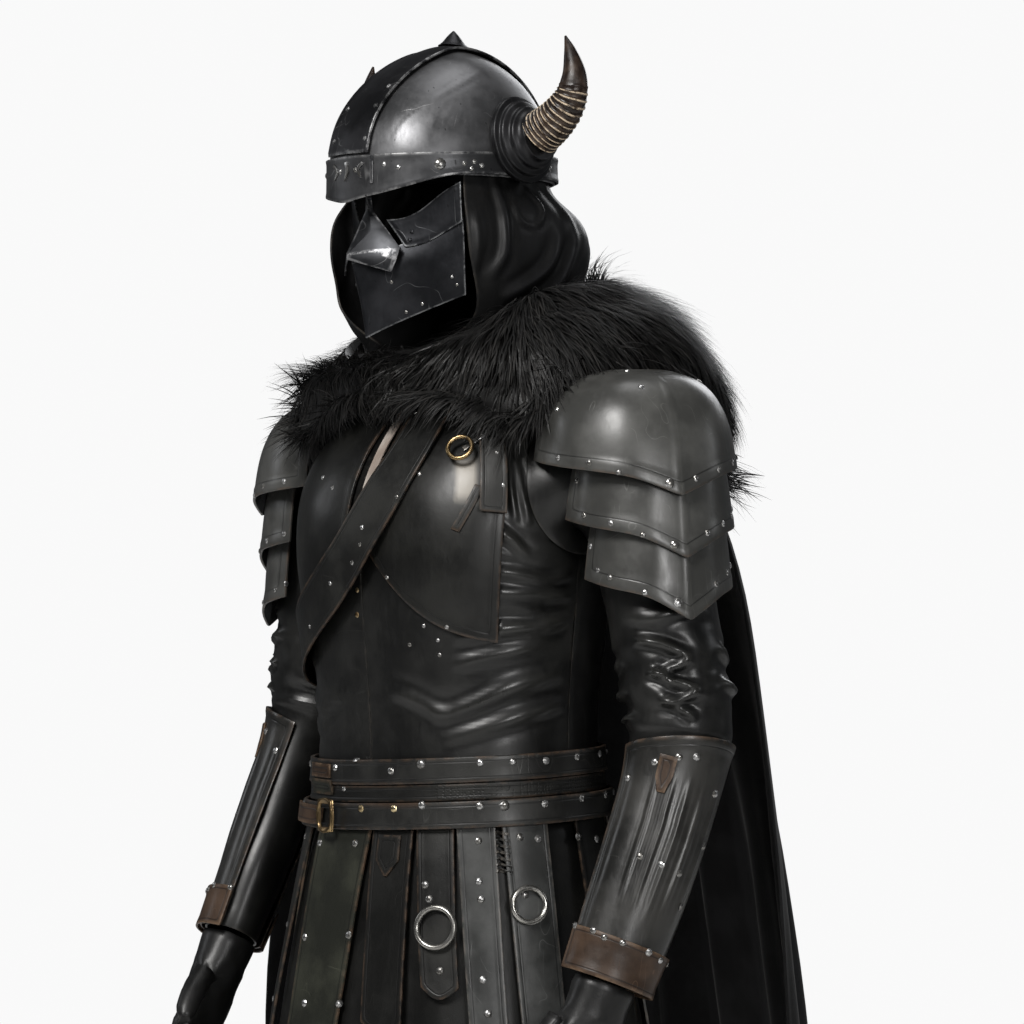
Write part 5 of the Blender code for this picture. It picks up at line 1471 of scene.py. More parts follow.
# %% Helpers for geometry trees
def growing_tree(name, numbers, whole=()):
    """A tree that takes a geometry and named numbers: the tree and its two ends."""
    tree = bpy.data.node_groups.new(name, "GeometryNodeTree")
    tree.interface.new_socket("Geometry", in_out="INPUT", socket_type="NodeSocketGeometry")
    for label, value in numbers.items():
        kind = "NodeSocketInt" if label in whole else "NodeSocketFloat"
        socket = tree.interface.new_socket(label, in_out="INPUT", socket_type=kind)
        socket.default_value = value
    tree.interface.new_socket("Finish", in_out="INPUT", socket_type="NodeSocketMaterial")
    tree.interface.new_socket("Geometry", in_out="OUTPUT", socket_type="NodeSocketGeometry")
    return tree, tree.nodes.new("NodeGroupInput").outputs, tree.nodes.new("NodeGroupOutput").inputs


def set_on(tree, spots, thing, turn, size):
    """A copy of the thing on every spot."""
    inputs = {"Points": spots, "Instance": thing, "Rotation": turn, "Scale": size}
    return add_node(tree, "GeometryNodeInstanceOnPoints", inputs).outputs[0]


def finish_tree(tree, given, gives, geometry):
    """Every tree ends the same way: instances made real, then the material set."""
    real = add_node(tree, "GeometryNodeRealizeInstances", {"Geometry": geometry}).outputs[0]
    painted = add_node(tree, "GeometryNodeSetMaterial", {"Geometry": real, "Material": given["Finish"]})
    wire(painted.outputs[0], gives[0])


def grown(name, carrier, tree, numbers, look):
    """Runs a tree on a carrier mesh and keeps the result as a plain mesh that rides along."""
    host = link_piece(name + "_carrier", carrier)
    modifier = host.modifiers.new("grow", "NODES")
    modifier.node_group = tree
    for item in tree.interface.items_tree:
        if item.in_out == "INPUT" and item.name in numbers:
            modifier[item.identifier] = numbers[item.name]
        if item.in_out == "INPUT" and item.name == "Finish":
            modifier[item.identifier] = finishes[look].material
    graph = bpy.context.evaluated_depsgraph_get()
    mesh = bpy.data.meshes.new_from_object(host.evaluated_get(graph))
    bpy.data.objects.remove(host)
    made = link_piece(name, mesh)
    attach(made, "root")
    made_pieces.append(made)
    print(name, len(mesh.polygons), "faces")


def read_value(tree, label, kind="FLOAT"):
    made = add_node(tree, "GeometryNodeInputNamedAttribute", {"Name": label}, data_type=kind)
    return made.outputs["Attribute"]


def vector_maths(tree, operation, inputs, output=0):
    return add_node(tree, "ShaderNodeVectorMath", inputs, operation=operation).outputs[output]


def reshaped(tree, mesh, x, y, z):
    """A mesh with its points moved to new places."""
    place = add_node(tree, "ShaderNodeCombineXYZ", {0: x, 1: y, 2: z}).outputs[0]
    return add_node(tree, "GeometryNodeSetPosition", {"Geometry": mesh, "Position": place}).outputs[0]


print("growing helpers ready")

# %% A tree that sets rivet heads
HEAD_SIDES = 10
HEAD_RISE = 0.55
HEAD_TOP = 0.12         # radius of the flat at the top, where the rim is 1
HEAD_RINGS = 4


def rivet_tree():
    """A low dome on each point, turned to the facing direction; wide is its radius."""
    numbers = {"Sides": HEAD_SIDES, "Rise": HEAD_RISE}
    tree, given, gives = growing_tree("rivet heads", numbers, whole=("Sides",))
    inputs = {
        "Vertices": given["Sides"],
        "Side Segments": HEAD_RINGS,
        "Radius Top": HEAD_TOP,
        "Radius Bottom": 1.0,
        "Depth": 0.5,
    }
    cone = add_node(tree, "GeometryNodeMeshCone", inputs).outputs["Mesh"]
    spot = add_node(tree, "GeometryNodeInputPosition").outputs[0]
    flat = vector_maths(tree, "MULTIPLY", {0: spot, 1: (1.0, 1.0, 0.0)})
    radius = vector_maths(tree, "LENGTH", {0: flat}, "Value")
    height = times(maths("SQRT", less(1.02, maths("POWER", radius, 2.0))), given["Rise"])
    parts = add_node(tree, "ShaderNodeSeparateXYZ", {0: spot}).outputs
    head = reshaped(tree, cone, parts[0], parts[1], height)
    facing = {"Vector": read_value(tree, "facing", "FLOAT_VECTOR")}
    turn = add_node(tree, "FunctionNodeAlignRotationToVector", facing, axis="Z").outputs[0]
    heads = set_on(tree, given["Geometry"], head, turn, read_value(tree, "wide"))
    finish_tree(tree, given, gives, heads)
    return tree


rivets_tree = rivet_tree()
print("rivet tree has", len(rivets_tree.nodes), "nodes")

# %% [markdown]
# ## Studs and rivets
#
# Every plate and strap is riveted. The heads are domed steel, a few of them brass, and no
# two rows are quite straight. Each head is placed by a ray from outside that finds the
# finished surface, and one tree sets them all, a mesh to each finish. They could be drawn
# as bump, but a real head catches a bright point of light, which bump never does.

# %% Rays on to finished pieces
piece_trees = {}


def surface_at(hosts, line, u, v):
    """The outermost place on the named pieces that a ray finds, and the way out."""
    start, inward = line.ray(u, v)
    best = None
    for host in hosts:
        if host not in piece_trees:
            piece_trees[host] = tree_of(bpy.data.objects[host + "_made"].data)
        place, normal, _, away = piece_trees[host].ray_cast(start, inward)
        if place and (best is None or away < best[2]):
            best = (place, normal if normal.dot(inward) < 0 else -normal, away)
    return best


print("surfaces are found by rays")

# %% Tables of studs
Studs = namedtuple("Studs", "look line hosts radius spots")


def tilt(angle):
    """The belts sit a little higher at the near side than at the far one."""
    return -0.0085 * math.cos(math.radians(angle + 60))


def around(angles, height):
    return [(angle, height + tilt(angle)) for angle in angles]


def both(*spots):
    """The spots and their mirror images on the other side."""
    return [*spots, *((-angle, height) for angle, height in spots)]


HIDDEN_BELT = (88, 103, 117, 133, 148, 162, 177, -168, -152, -137, -122, -108, -93, -77, -62, -47)
STUDS = [
    Studs("rivet", HEAD, ["helmet_brow_band"], 0.0032, [
        (31.3, -0.0103), (128.2, -0.0042), (-31, -0.0105), (-95, -0.0065), (-128, -0.0042),
        (158, -0.0040), (-158, -0.0040), (180, -0.0040), (100, -0.0060),
    ]),
    Studs("rivet", HEAD, ["helmet_brow_band"], 0.0060, [(51.8, -0.0073), (-52, -0.0080)]),
    Studs("rivet", HEAD, ["helmet_brow_band"], 0.0028, [
        (24.2, -0.0067), (68.5, -0.0112), (74.3, -0.0078), (70.0, -0.0040), (64.5, -0.0060),
        (-68.5, -0.0112), (-74.3, -0.0078), (-70.0, -0.0040), (8.0, -0.0112), (-3.2, -0.0116),
    ]),
    Studs("comb", HEAD, ["helmet_comb"], 0.0030, [
        (13.2, 0.0217), (13.6, 0.0575), (15.3, 0.0789), (-12, 0.022), (-13, 0.058),
        (168, 0.022), (167, 0.058), (-168, 0.022), (-167, 0.058),
    ]),
    Studs("mask", HEAD, ["cheek_guard_l", "cheek_guard_r"], 0.0026, both(
        (31.7, -0.0841), (32.9, -0.0757), (68, -0.074),
    )),
    Studs("rivet", HEAD, ["mask_lower"], 0.0020, both(
        (26.5, -0.1591), (38.6, -0.1509), (62.3, -0.1315), (19.1, -0.1278), (59.1, -0.1232),
    )),
    Studs("rivet", TRUNK, ["breast_plate_l", "breast_plate_r"], 0.0026, [
        (-18.3, -0.089), (27.3, -0.075), (15.1, -0.183), (38.4, -0.234), (50.5, -0.250),
        (-27.3, -0.078), (-38.4, -0.236), (-50.5, -0.252),
    ]),
    Studs("rivet", TRUNK, ["baldric"], 0.0026, [
        (17.3, -0.010), (20.1, -0.099), (5.6, -0.131), (5.1, -0.149), (1.2, -0.168),
        (-10.7, -0.190), (-27.1, -0.237), (-46, -0.288), (-66, -0.318),
    ]),
    Studs("rivet", TRUNK, ["jerkin_front_l"], 0.0025, [
        (29.3, -0.233), (23.0, -0.253), (35.3, -0.263), (34.7, -0.248),
    ]),
    Studs("brass", TRUNK, ["jerkin_front_r", "breast_plate_r"], 0.0032, [(-2.8, -0.197), (-3.7, -0.223)]),
    Studs("rivet", TRUNK, ["shoulder_strap"], 0.0026, [(55.4, -0.053), (56.6, -0.087)]),
    Studs("rivet", TRUNK, ["belt_upper"], 0.0040, [
        (-5.6, -0.376), (-19.3, -0.386), (14.1, -0.385), (49.9, -0.374), (61.3, -0.373), (73.7, -0.373),
        *around(HIDDEN_BELT, -0.378),
    ]),
    Studs("rivet", TRUNK, ["belt_upper"], 0.0052, [(27.9, -0.377)]),
    Studs("rivet", TRUNK, ["belt_middle"], 0.0030, [(-14.1, -0.408)]),
    Studs("brass", TRUNK, ["belt_lower"], 0.0042, [(17, -0.4235), (0, -0.4260)]),
    Studs("rivet", TRUNK, ["belt_lower"], 0.0042, [
        (29, -0.4185), (49.7, -0.418), (72, -0.417), *around(HIDDEN_BELT, -0.421),
    ]),
    Studs("rivet", TRUNK, ["belt_lower"], 0.0060, [(57.7, -0.4175)]),
    Studs("rivet", TRUNK, ["skirt_strap_1", "skirt_strap_2", "skirt_ring_strap_1", "skirt_strap_3"], 0.0043, [
        (-26.9, -0.467), (-4.0, -0.463), (-24.6, -0.566), (0.2, -0.557), (-18.2, -0.633), (0.0, -0.628),
        (14.5, -0.462), (31.0, -0.500), (32.7, -0.514), (37.2, -0.586), (49.1, -0.454), (49.2, -0.495),
        (49.8, -0.513), (50.0, -0.594), (51.3, -0.628),
    ]),
    Studs("rivet", TRUNK, ["skirt_ring_strap_2", "skirt_strap_4"], 0.0043, [
        (63.3, -0.451), (69.8, -0.453), (63.7, -0.509), (86.9, -0.454), (97, -0.458), (99, -0.560),
        (96, -0.640),
    ]),
    Studs("rivet", BACK, [f"skirt_strap_{number}" for number in (5, 6, 7, 8, 9, 10)], 0.0036, [
        (-49, -0.470), (-41, -0.470), (-45, -0.590), (-4, -0.470), (4, -0.470), (0, -0.590), (36, -0.470),
        (44, -0.470), (40, -0.590), (71, -0.470), (79, -0.470), (75, -0.590), (104, -0.468),
        (110, -0.468), (107, -0.590), (134, -0.465), (134, -0.560), (134, -0.640), (-1, -0.700),
        (40, -0.700), (-45, -0.700),
    ]),
]
LAME_STUDS = {
    1: [
        (-86, -0.010), (-74.1, -0.060), (-52.2, -0.065), (-34.7, -0.075), (9.7, -0.081), (27.9, -0.072),
        (48, -0.064), (68, -0.058), (-37.8, 0.030), (-20.8, 0.012), (62, 0.020),
    ],
    2: [
        (-85, -0.083), (-71.9, -0.118), (-50, -0.126), (-28.5, -0.138), (17.2, -0.136), (34.5, -0.127),
        (54, -0.119), (70, -0.112),
    ],
    3: [
        (-86.1, -0.150), (-74.0, -0.174), (-60.9, -0.181), (-33.2, -0.196), (26.2, -0.188), (48, -0.177),
        (66, -0.170),
    ],
}
KEEL_STUDS = {1: (-6.8, -0.086), 2: (-8.3, -0.148), 3: (-9.0, -0.206)}
BRACER_STUDS = [
    (0.678, 17), (0.659, 46), (0.654, 68), (0.704, 33), (0.698, 108), (0.825, 30), (0.826, 62), (0.829, 90),
    (0.711, -18), (0.780, 118), (0.870, 112), (0.700, -60), (0.800, -55), (0.890, -50),
]
CUFF_STUDS = [
    (0.936, -28), (0.936, 3), (0.940, 20), (0.939, 46), (0.938, 84), (0.941, 106), (0.940, 140),
    (0.938, -70),
]
for side in "lr":
    for number in (1, 2, 3):
        line, hosts = LAMES[number, side], [f"pauldron_{number}_{side}"]
        STUDS.append(Studs("rivet", line, hosts, 0.0034, LAME_STUDS[number]))
        STUDS.append(Studs("rivet", line, hosts, 0.0050, [KEEL_STUDS[number]]))
    STUDS.append(Studs("rivet", ARMS[side], ["vambrace_" + side], 0.0042, BRACER_STUDS))
    STUDS.append(Studs("rivet", ARMS[side], ["wrist_cuff_" + side], 0.0037, CUFF_STUDS))
print(sum(len(row.spots) for row in STUDS), "studs in", len(STUDS), "rows")

# %% Set the studs
SUNK = 0.0003
UNEVEN = 0.12


def set_studs(look):
    """All the heads of one finish as one mesh. Gives how many rays found nothing."""
    heads, missed = [], 0
    for row in STUDS:
        for spot in row.spots if row.look == look else ():
            found = surface_at(row.hosts, row.line, *row.line.flat(*spot))
            if found is None:
                missed += 1
                continue
            place, outward = found[:2]
            wide = row.radius * (1 + UNEVEN * noise.noise(place / 0.01))
            heads.append((place - outward * SUNK, outward, wide))
    mesh = bpy.data.meshes.new(look)
    mesh.from_pydata([tuple(place) for place, _, _ in heads], [], [])
    keep_directions(mesh, "facing", [outward for _, outward, _ in heads])
    keep_value(mesh, "wide", [wide for _, _, wide in heads])
    grown(look + "_studs", mesh, rivets_tree, {"Sides": HEAD_SIDES, "Rise": HEAD_RISE}, look)
    return missed


missed = sum(set_studs(look) for look in sorted({row.look for row in STUDS}))
print(missed, "rays found nothing")

# %% [markdown]
# ## Small straps, tabs and laces
#
# Keepers, tabs and laces lie on the pieces below them, so each is a narrow sheet dropped on
# to the finished surface point by point and given its own thickness. A tab may narrow to a
# point. They are too thin and too many to be solids of their own.

# %% Laid strips
Strip = namedtuple("Strip", "name look line hosts path wide end thick")
STRIP_ACROSS = 5
STRIP_GAP = 0.004
STRIP_LIFT = 0.0002
STRIP_ROUND = 0.0004
NARROW_FROM = 0.6       # the share of its length from which a strip may narrow


def laid_strip(strip):
    """A strip along a path on its hosts; end is its width at the far end, as a share."""
    path = smooth_path([strip.line.flat(*point) for point in strip.path])
    lengths = np.hypot(*np.diff(path, axis=0).T)
    total = lengths.sum()
    reached = np.concatenate([[0], np.cumsum(lengths)])

    def place_at(far):
        return np.array([np.interp(far, reached, path[:, axis]) for axis in (0, 1)])

    rows = []
    for share in np.linspace(0, 1, max(int(total / STRIP_GAP), 3) + 1):
        far = share * total
        heading = place_at(min(far + MM, total)) - place_at(max(far - MM, 0))
        cross = np.array((-heading[1], heading[0])) / np.linalg.norm(heading)
        wide = strip.wide * (1 - (1 - strip.end) * max((share - NARROW_FROM) / (1 - NARROW_FROM), 0))
        row = []
        for step in np.linspace(-0.5, 0.5, STRIP_ACROSS):
            found = surface_at(strip.hosts, strip.line, *(place_at(far) + cross * step * wide))
            if found:
                row.append(found[0] + found[1] * (strip.thick + STRIP_LIFT))
        if len(row) == STRIP_ACROSS:
            rows.append(row)
    return rows


def grid_faces(rows, across, closed=False):
    """Four-sided faces between rows of points; a closed grid joins the ends of each row."""
    faces = []
    for row in range(rows - 1):
        for i in range(across if closed else across - 1):
            near = row * across + i
            far = row * across + (i + 1) % across
            faces.append((near, far, far + across, near + across))
    return faces


def add_strip(strip):
    """A laid strip as a wall whose faces look outward from its line."""
    rows = laid_strip(strip)
    mesh = bpy.data.meshes.new(strip.name)
    corners = [tuple(place) for row in rows for place in row]
    mesh.from_pydata(corners, [], grid_faces(len(rows), STRIP_ACROSS))
    mesh.update()
    outward = rows[0][0] - strip.line.ray(*strip.line.flat(*strip.path[0]))[0]
    if mesh.polygons[0].normal.dot(outward) > 0:
        mesh.flip_normals()
    piece = link_piece(strip.name + "_made", mesh)
    keep_value(mesh, "rim", edge_distance(mesh))
    hand_over(thickened(piece, strip.thick, STRIP_ROUND), [], strip.look)


CHEST = ["breast_plate_l", "jerkin_front_l", "baldric"]
BELTS = ["belt_upper", "belt_middle"]
BROW = ["helmet_brow_band"]
HOOK = CHEST + ["shoulder_strap"]
LACED = ["skirt_strap_3", "skirt_ring_strap_2", "underskirt"]
SLANT = ((49.5, -0.088), (45.5, -0.112), (41.5, -0.134))
CLAWS = (
    ((13, -0.004), (10, -0.011), (12, -0.020)),
    ((2, -0.002), (3, -0.012), (1, -0.022)),
    ((-9, -0.004), (-5, -0.011), (-8, -0.020)),
)
LACE_TOP = -0.446
LACE_GAP = 0.0065
LACES = 7
STRIPS = [
    Strip("keeper", "brown", TRUNK, BELTS, ((-39, -0.3905), (-22, -0.3900)), 0.015, 1, 0.0020),
    Strip("belt_block", "olive", TRUNK, BELTS, ((-38, -0.4080), (-21, -0.4075)), 0.016, 1, 0.0020),
    Strip("slant_strap", "strap", TRUNK, CHEST, SLANT, 0.008, 1, 0.0018),
    Strip(
        "point_tab", "dark strap", TRUNK, ["skirt_strap_2"],
        ((14.5, -0.452), (14.8, -0.494)), 0.028, 0.1, 0.0022,
    ),
    Strip("hook_bar", "rivet", TRUNK, HOOK, ((44.0, -0.051), (51.2, -0.037)), 0.0045, 0.6, 0.0025),
    Strip("brow_edge", "nose", HEAD, BROW, ((18, 0.003), (18, -0.026)), 0.0030, 1, 0.0016),
]
for number, path in enumerate(CLAWS, 1):
    STRIPS.append(Strip(f"brow_claw_{number}", "rivet", HEAD, BROW, path, 0.0032, 0.3, 0.0014))
for side in "lr":
    hosts, path = ["vambrace_" + side], ((0.662, 33), (0.725, 33))
    STRIPS.append(Strip("bracer_tab_" + side, "brown", ARMS[side], hosts, path, 0.019, 0.5, 0.0020))
for number in range(LACES):
    height = LACE_TOP - LACE_GAP * number
    path = ((55.2, height), (59.6, height - 0.002))
    STRIPS.append(Strip(f"lace_{number + 1}", "grey strap", TRUNK, LACED, path, 0.0028, 1, 0.0016))
for strip in STRIPS:
    add_strip(strip)
print(len(STRIPS), "strips laid")

# %% [markdown]
# ## Horns
#
# A ram's or goat's horn has ridges round it from the root to past its middle, paler where
# they are rubbed, and a smooth dark tip. The ridges are real relief here, because they show
# against the sky on the horn's outline. Each horn is a tube along a curve, from its boss to
# its point, and a stored number tells the finish how high the ridge is.

# %% Horns with ridges
HornRow = namedtuple("HornRow", "along reach height radius")
HORN_ANGLE = math.radians(100.5)
HORN_ROWS = (
    HornRow(0.00, 0.1385, 0.0270, 0.0230),
    HornRow(0.25, 0.1625, 0.0415, 0.0208),
    HornRow(0.45, 0.1800, 0.0600, 0.0176),
    HornRow(0.65, 0.1858, 0.0830, 0.0132),
    HornRow(0.85, 0.1808, 0.1075, 0.0072),
    HornRow(1.00, 0.1735, 0.1262, 0.0012),
)
HORN_RINGS = 180
HORN_SIDES = 28
RIDGES = 13
RIDGED_TO = 0.62


def horn_rows():
    """Centre and radius along the horn, on smooth curves through the rows."""
    table = smooth_path([row[1:] for row in HORN_ROWS], 12)
    shares = smooth_path([(row.along, 0) for row in HORN_ROWS], 12)[:, 0]
    wanted = np.linspace(0, 1, HORN_RINGS)
    return [np.interp(wanted, shares, table[:, i]) for i in range(3)]


RIDGE_FADE = 0.1
RIDGE_RISE = 0.085      # both as shares of the horn's radius
RIDGE_SINK = 0.03


def horn_ring(along, radius, sign):
    """Sideways and forward steps of one ring's points from its centre, and their ridges."""
    fade = np.clip((RIDGED_TO - along) / RIDGE_FADE, 0, 1)
    for i in range(HORN_SIDES):
        angle = 2 * math.pi * i / HORN_SIDES
        slant = 0.10 * math.sin(angle) + 0.12 * noise.noise(Vector((along * 9, angle, sign)))
        wave = 0.5 + 0.5 * math.cos(2 * math.pi * (along / RIDGED_TO * RIDGES + slant))
        ridge = fade * wave**3
        grow = radius * (1 + RIDGE_RISE * ridge - RIDGE_SINK * fade) * (1 + 0.02 * math.sin(3 * angle))
        yield math.cos(angle) * grow, math.sin(angle) * grow, ridge


def make_horn(side):
    sign = 1 if side == "l" else -1
    turn = Matrix.Rotation(HEAD.turn, 3, "Z")
    spoke = turn @ Vector((sign * math.sin(HORN_ANGLE), -math.cos(HORN_ANGLE), 0))
    flat = Vector((-spoke.y, spoke.x, 0))
    reach, height, radius = horn_rows()
    heading = np.gradient(np.column_stack([reach, height]), axis=0)
    corners, ridges = [], []
    for i, (outward, upward) in enumerate(heading):
        centre = HEAD.centre + spoke * reach[i] + Vector((0, 0, height[i]))
        ahead = (spoke * outward + Vector((0, 0, upward))).normalized()
        across = ahead.cross(flat).normalized()
        for step, rise, ridge in horn_ring(i / (HORN_RINGS - 1), radius[i], sign):
            corners.append(tuple(centre + flat * step + across * rise))
            ridges.append(ridge)
    faces = grid_faces(HORN_RINGS, HORN_SIDES, closed=True)
    faces.append(tuple(reversed(range(HORN_SIDES))))
    faces.append(tuple(range((HORN_RINGS - 1) * HORN_SIDES, HORN_RINGS * HORN_SIDES)))
    mesh = bpy.data.meshes.new("horn_" + side)
    mesh.from_pydata(corners, [], faces)
    work = bmesh.new()
    work.from_mesh(mesh)
    bmesh.ops.recalc_face_normals(work, faces=work.faces)
    work.to_mesh(mesh)
    work.free()
    keep_value(mesh, "ridge", ridges)
    hand_over(link_piece(f"horn_{side}_made", mesh), ["horn_" + side], "horn")


for side in "lr":
    make_horn(side)

# %% [markdown]
# ## Fur mantle
#
# A collar of long fur, laid over the shoulders and down to the back. It could be a rough
# lump with a fur bump, but its edge would be smooth and give it away. So the solid is drawn
# in a little, dyed dark, and covered with thousands of tapered flat strands that lie along
# the fall of the fur: towards the breast in front, and out and down elsewhere.

# %% Fall of the fur
FUR_SEED = 4            # fixed, so that the hair falls the same way every time
FUR_IN = 0.012
FUR_FRONT = math.radians(74)
FUR_TURN = math.radians(24)     # over this angle the fall turns from the side's to the front's
FUR_CLUMP = 0.034
FUR_TUFT = 0.012
noise.seed_set(FUR_SEED)


def fur_fall(place, normal):
    """The way the hair lies at a place on the mantle."""
    angle = math.atan2(place.x, -place.y)
    outward = Vector((math.sin(angle), -math.cos(angle), 0))
    inward_round = Vector((math.cos(angle), math.sin(angle), 0)) * (-1 if angle > 0 else 1)
    front = min(max((FUR_FRONT - abs(angle)) / FUR_TURN, 0), 1)
    fall = outward * (0.85 - 0.55 * front) + Vector((0, 0, -1)) * (0.75 + 0.35 * front)
    fall += inward_round * (0.95 * front - 0.10)
    fall += noise.noise_vector(place / FUR_CLUMP) * 0.55 + noise.noise_vector(place / FUR_TUFT) * 0.25
    return (fall - normal * fall.dot(normal)).normalized()


def fur_cover(place, normal):
    """How thickly hair grows at a place: none on the side that lies on the body."""
    outward = Vector((place.x, place.y, 0)).normalized()
    return 0.0 if normal.z < -0.25 or (normal.dot(outward) < -0.8 and normal.z < 0.1) else 1.0


fur_base = smoothed("fur_mantle_made", mesh_of(merged_copy("fur_mantle"), "fur"), 2, sharp=70, crease=0.3)
put_places(fur_base.data, places(fur_base.data) - normals_of(fur_base.data) * FUR_IN)
keep_value(fur_base.data, "rim", np.full(len(fur_base.data.vertices), FAR_IN))
hand_over(fur_base, ["fur_mantle"], "fur")

# %% A tree that grows fur
STRAY = (0.22, 0.22, 0.22)


def random_between(tree, low, high, seed):
    inputs = {2: low, 3: high, "Seed": seed}
    return add_node(tree, "FunctionNodeRandomValue", inputs, data_type="FLOAT").outputs[1]


def stored(tree, geometry, name, value, domain):
    inputs = {"Geometry": geometry, "Name": name, "Value": value}
    kind = "GeometryNodeStoreNamedAttribute"
    return add_node(tree, kind, inputs, data_type="FLOAT", domain=domain).outputs[0]


def strand(tree):
    """A flat blade one unit long that tapers, rises from its root and droops at its tip."""
    sizes = {"Size X": 1.0, "Size Y": 1.0, "Vertices X": 2, "Vertices Y": 5}
    blade = add_node(tree, "GeometryNodeMeshGrid", sizes).outputs[0]
    spot = add_node(tree, "GeometryNodeInputPosition").outputs[0]
    parts = add_node(tree, "ShaderNodeSeparateXYZ", {0: spot}).outputs
    along = plus(parts[1], 0.5)
    squared = times(along, along)
    taper = less(1.0, times(squared, 0.94))
    droop = plus(times(along, 0.30), times(squared, -0.34))
    bent = reshaped(tree, blade, times(parts[0], taper), along, droop)
    return stored(tree, bent, "along", along, "POINT")


def fur_tree():
    """Flat tapered strands, each rooted on the carrier, leaning along the stored fall."""
    numbers = {"Density": 60000.0, "Seed": 4, "Length": 0.045, "Width": 0.0018, "Lift": 0.20}
    tree, given, gives = growing_tree("fur strands", numbers, whole=("Seed",))
    density = times(given["Density"], read_value(tree, "cover"))
    inputs = {"Mesh": given["Geometry"], "Density": density, "Seed": given["Seed"]}
    roots = add_node(tree, "GeometryNodeDistributePointsOnFaces", inputs).outputs
    lift = vector_maths(tree, "SCALE", {0: roots["Normal"], "Scale": given["Lift"]})
    ends = {0: tuple(-value for value in STRAY), 1: STRAY}
    stray = add_node(tree, "FunctionNodeRandomValue", ends, data_type="FLOAT_VECTOR").outputs[0]
    lean = vector_maths(tree, "ADD", {0: read_value(tree, "fall", "FLOAT_VECTOR"), 1: lift})
    heading = vector_maths(tree, "ADD", {0: lean, 1: stray})
    axes = {"Primary Axis": heading, "Secondary Axis": roots["Normal"]}
    kind = "FunctionNodeAxesToRotation"
    turn = add_node(tree, kind, axes, primary_axis="Y", secondary_axis="Z").outputs[0]
    width = times(given["Width"], random_between(tree, 0.55, 1.25, 11))
    length = times(given["Length"], random_between(tree, 0.6, 1.2, 12))
    length = times(length, read_value(tree, "long"))
    size = add_node(tree, "ShaderNodeCombineXYZ", {0: width, 1: length, 2: length}).outputs[0]
    placed = set_on(tree, roots["Points"], strand(tree), turn, size)
    tint = random_between(tree, 0.0, 1.0, 13)
    finish_tree(tree, given, gives, stored(tree, placed, "tint", tint, "INSTANCE"))
    return tree


strands_tree = fur_tree()
print("fur tree has", len(strands_tree.nodes), "nodes")

# %% Strands in four joined lots
FUR_NUMBERS = {"Density": 106000.0, "Seed": FUR_SEED, "Width": 0.0019, "Lift": 0.16}
FurLot = namedtuple("FurLot", "name start end length")
FUR_LOTS = (
    FurLot("fur_left", 0, 75, 0.046),
    FurLot("fur_left_back", 75, 180, 0.050),
    FurLot("fur_right_back", -180, -75, 0.050),
    FurLot("fur_right", -75, 0, 0.046),
)


def fur_carrier(lot):
    """The part of the mantle between two angles, with the fall and growth of its hair."""
    work = bmesh.new()
    work.from_mesh(fur_base.data)
    far = []
    for face in work.faces:
        middle = face.calc_center_median()
        angle = math.degrees(math.atan2(middle.x, -middle.y))
        if not lot.start <= angle < lot.end:
            far.append(face)
    bmesh.ops.delete(work, geom=far, context="FACES")
    mesh = bpy.data.meshes.new(lot.name)
    work.to_mesh(mesh)
    roots = [(vertex.co.copy(), vertex.normal.copy()) for vertex in work.verts]
    work.free()
    keep_directions(mesh, "fall", [fur_fall(place, normal) for place, normal in roots])
    keep_value(mesh, "cover", np.array([fur_cover(place, normal) for place, normal in roots]))
    keep_value(mesh, "long", np.array([1.0 + 0.35 * noise.noise(place / 0.03) for place, _ in roots]))
    return mesh


for lot in FUR_LOTS:
    grown(lot.name, fur_carrier(lot), strands_tree, {**FUR_NUMBERS, "Length": lot.length}, "fur")

# %% [markdown]
# ## The soft pieces as they were cut
#
# Everything soft was cut flat before it was sewn and hung, so each soft piece states its
# flat width and length, and the area inside that rectangle that the pattern really covers.
# A tube, such as a sleeve or the hood, is stated all round.

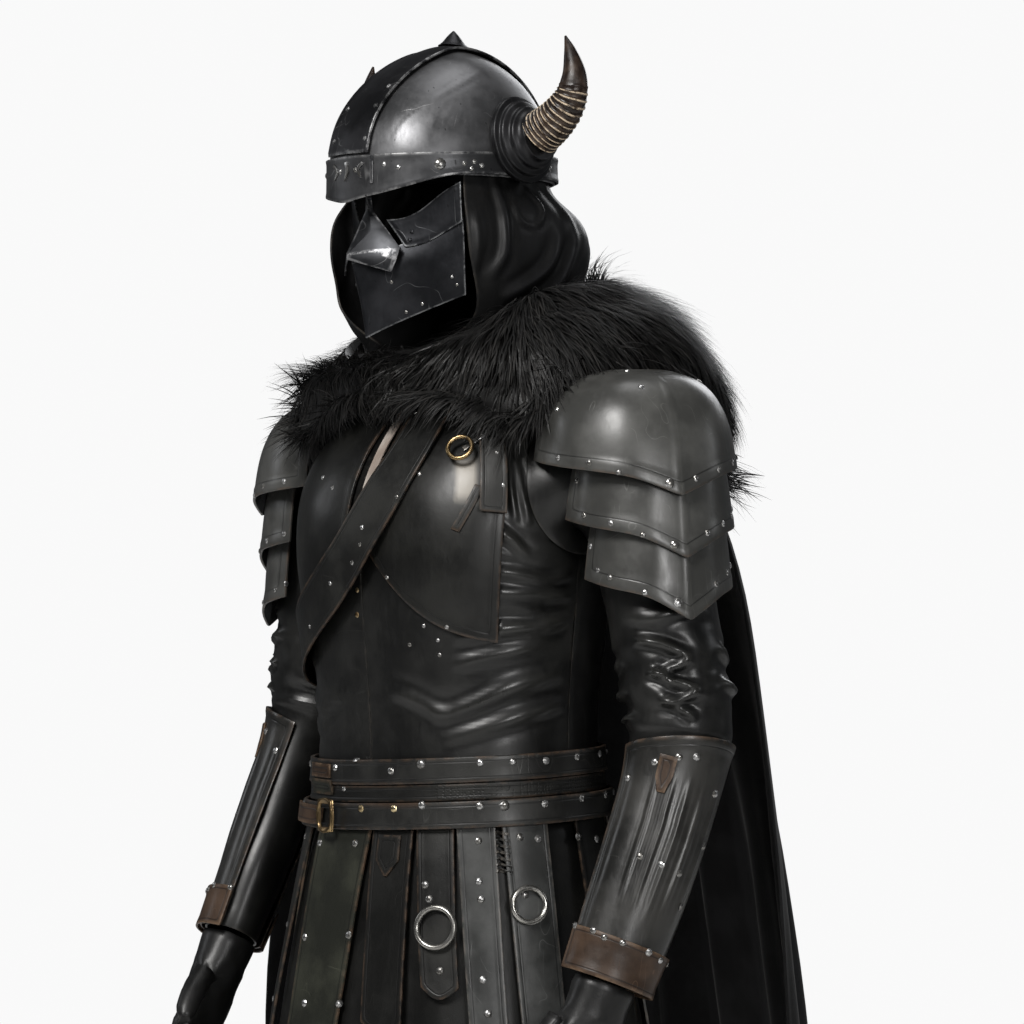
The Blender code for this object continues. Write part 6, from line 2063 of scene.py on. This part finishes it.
# %% Flat sizes
Cut = namedtuple("Cut", "node flat area held rests_on")
CUTS = (
    Cut("jerkin_front_l", (0.26, 0.50), 0.109, "stretched", ["jerkin_back"]),
    Cut("jerkin_front_r", (0.26, 0.50), 0.109, "stretched", ["jerkin_back"]),
    Cut("jerkin_back", (0.49, 0.50), 0.208, "stretched", ["jerkin_front_l", "jerkin_front_r"]),
    Cut("neck_strip", (0.016, 0.11), 0.0015, "laid", ["jerkin_front_l"]),
    Cut("hood", (0.58, 0.24), 0.114, "draped", ["helmet_bowl"]),
    Cut("sleeve_l", (0.34, 0.62), 0.180, "gathered", ["jerkin_front_l"]),
    Cut("sleeve_r", (0.34, 0.62), 0.180, "gathered", ["jerkin_front_r"]),
    Cut("underskirt", (1.34, 0.36), 0.395, "hung", ["belt_lower"]),
    Cut("cape", (1.02, 1.15), 0.900, "hung", ["fur_mantle"]),
)
for cut in CUTS:
    piece = bpy.data.objects[cut.node + "_made"]
    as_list(cut.rests_on)
    lies = sum(face.area for face in piece.data.polygons) / 2
    print(cut.node, "cut area", cut.area, "made area", round(lies, 3))

# %% Floor
FLOOR_REACH = 2.6
FLOOR_GAP = 0.003
ground = bpy.data.meshes.new("floor")
work = bmesh.new()
bmesh.ops.create_circle(work, cap_ends=True, segments=96, radius=FLOOR_REACH)
work.to_mesh(ground)
work.free()
floor_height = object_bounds()[0][2] - FLOOR_GAP
ground.transform(Matrix.Translation((0, 0, floor_height)))
floor = link_piece("floor", ground)
pale, _, shader = new_material("pale_floor")
wire((0.8, 0.8, 0.79, 1), shader["Base Color"])
wire(0.8, shader["Roughness"])
ground.materials.append(pale)
print("the floor lies at", round(floor_height, 3), "m")
floor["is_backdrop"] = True

# %% Sizes
total = 0
for piece in made_pieces:
    count = sum(len(face.vertices) - 2 for face in piece.data.polygons)
    total += count
print(len(made_pieces), "pieces,", total, "triangles")
dressed_box = [list(corner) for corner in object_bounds()]
print("the dressed suit reaches from", dressed_box[0], "to", dressed_box[1])
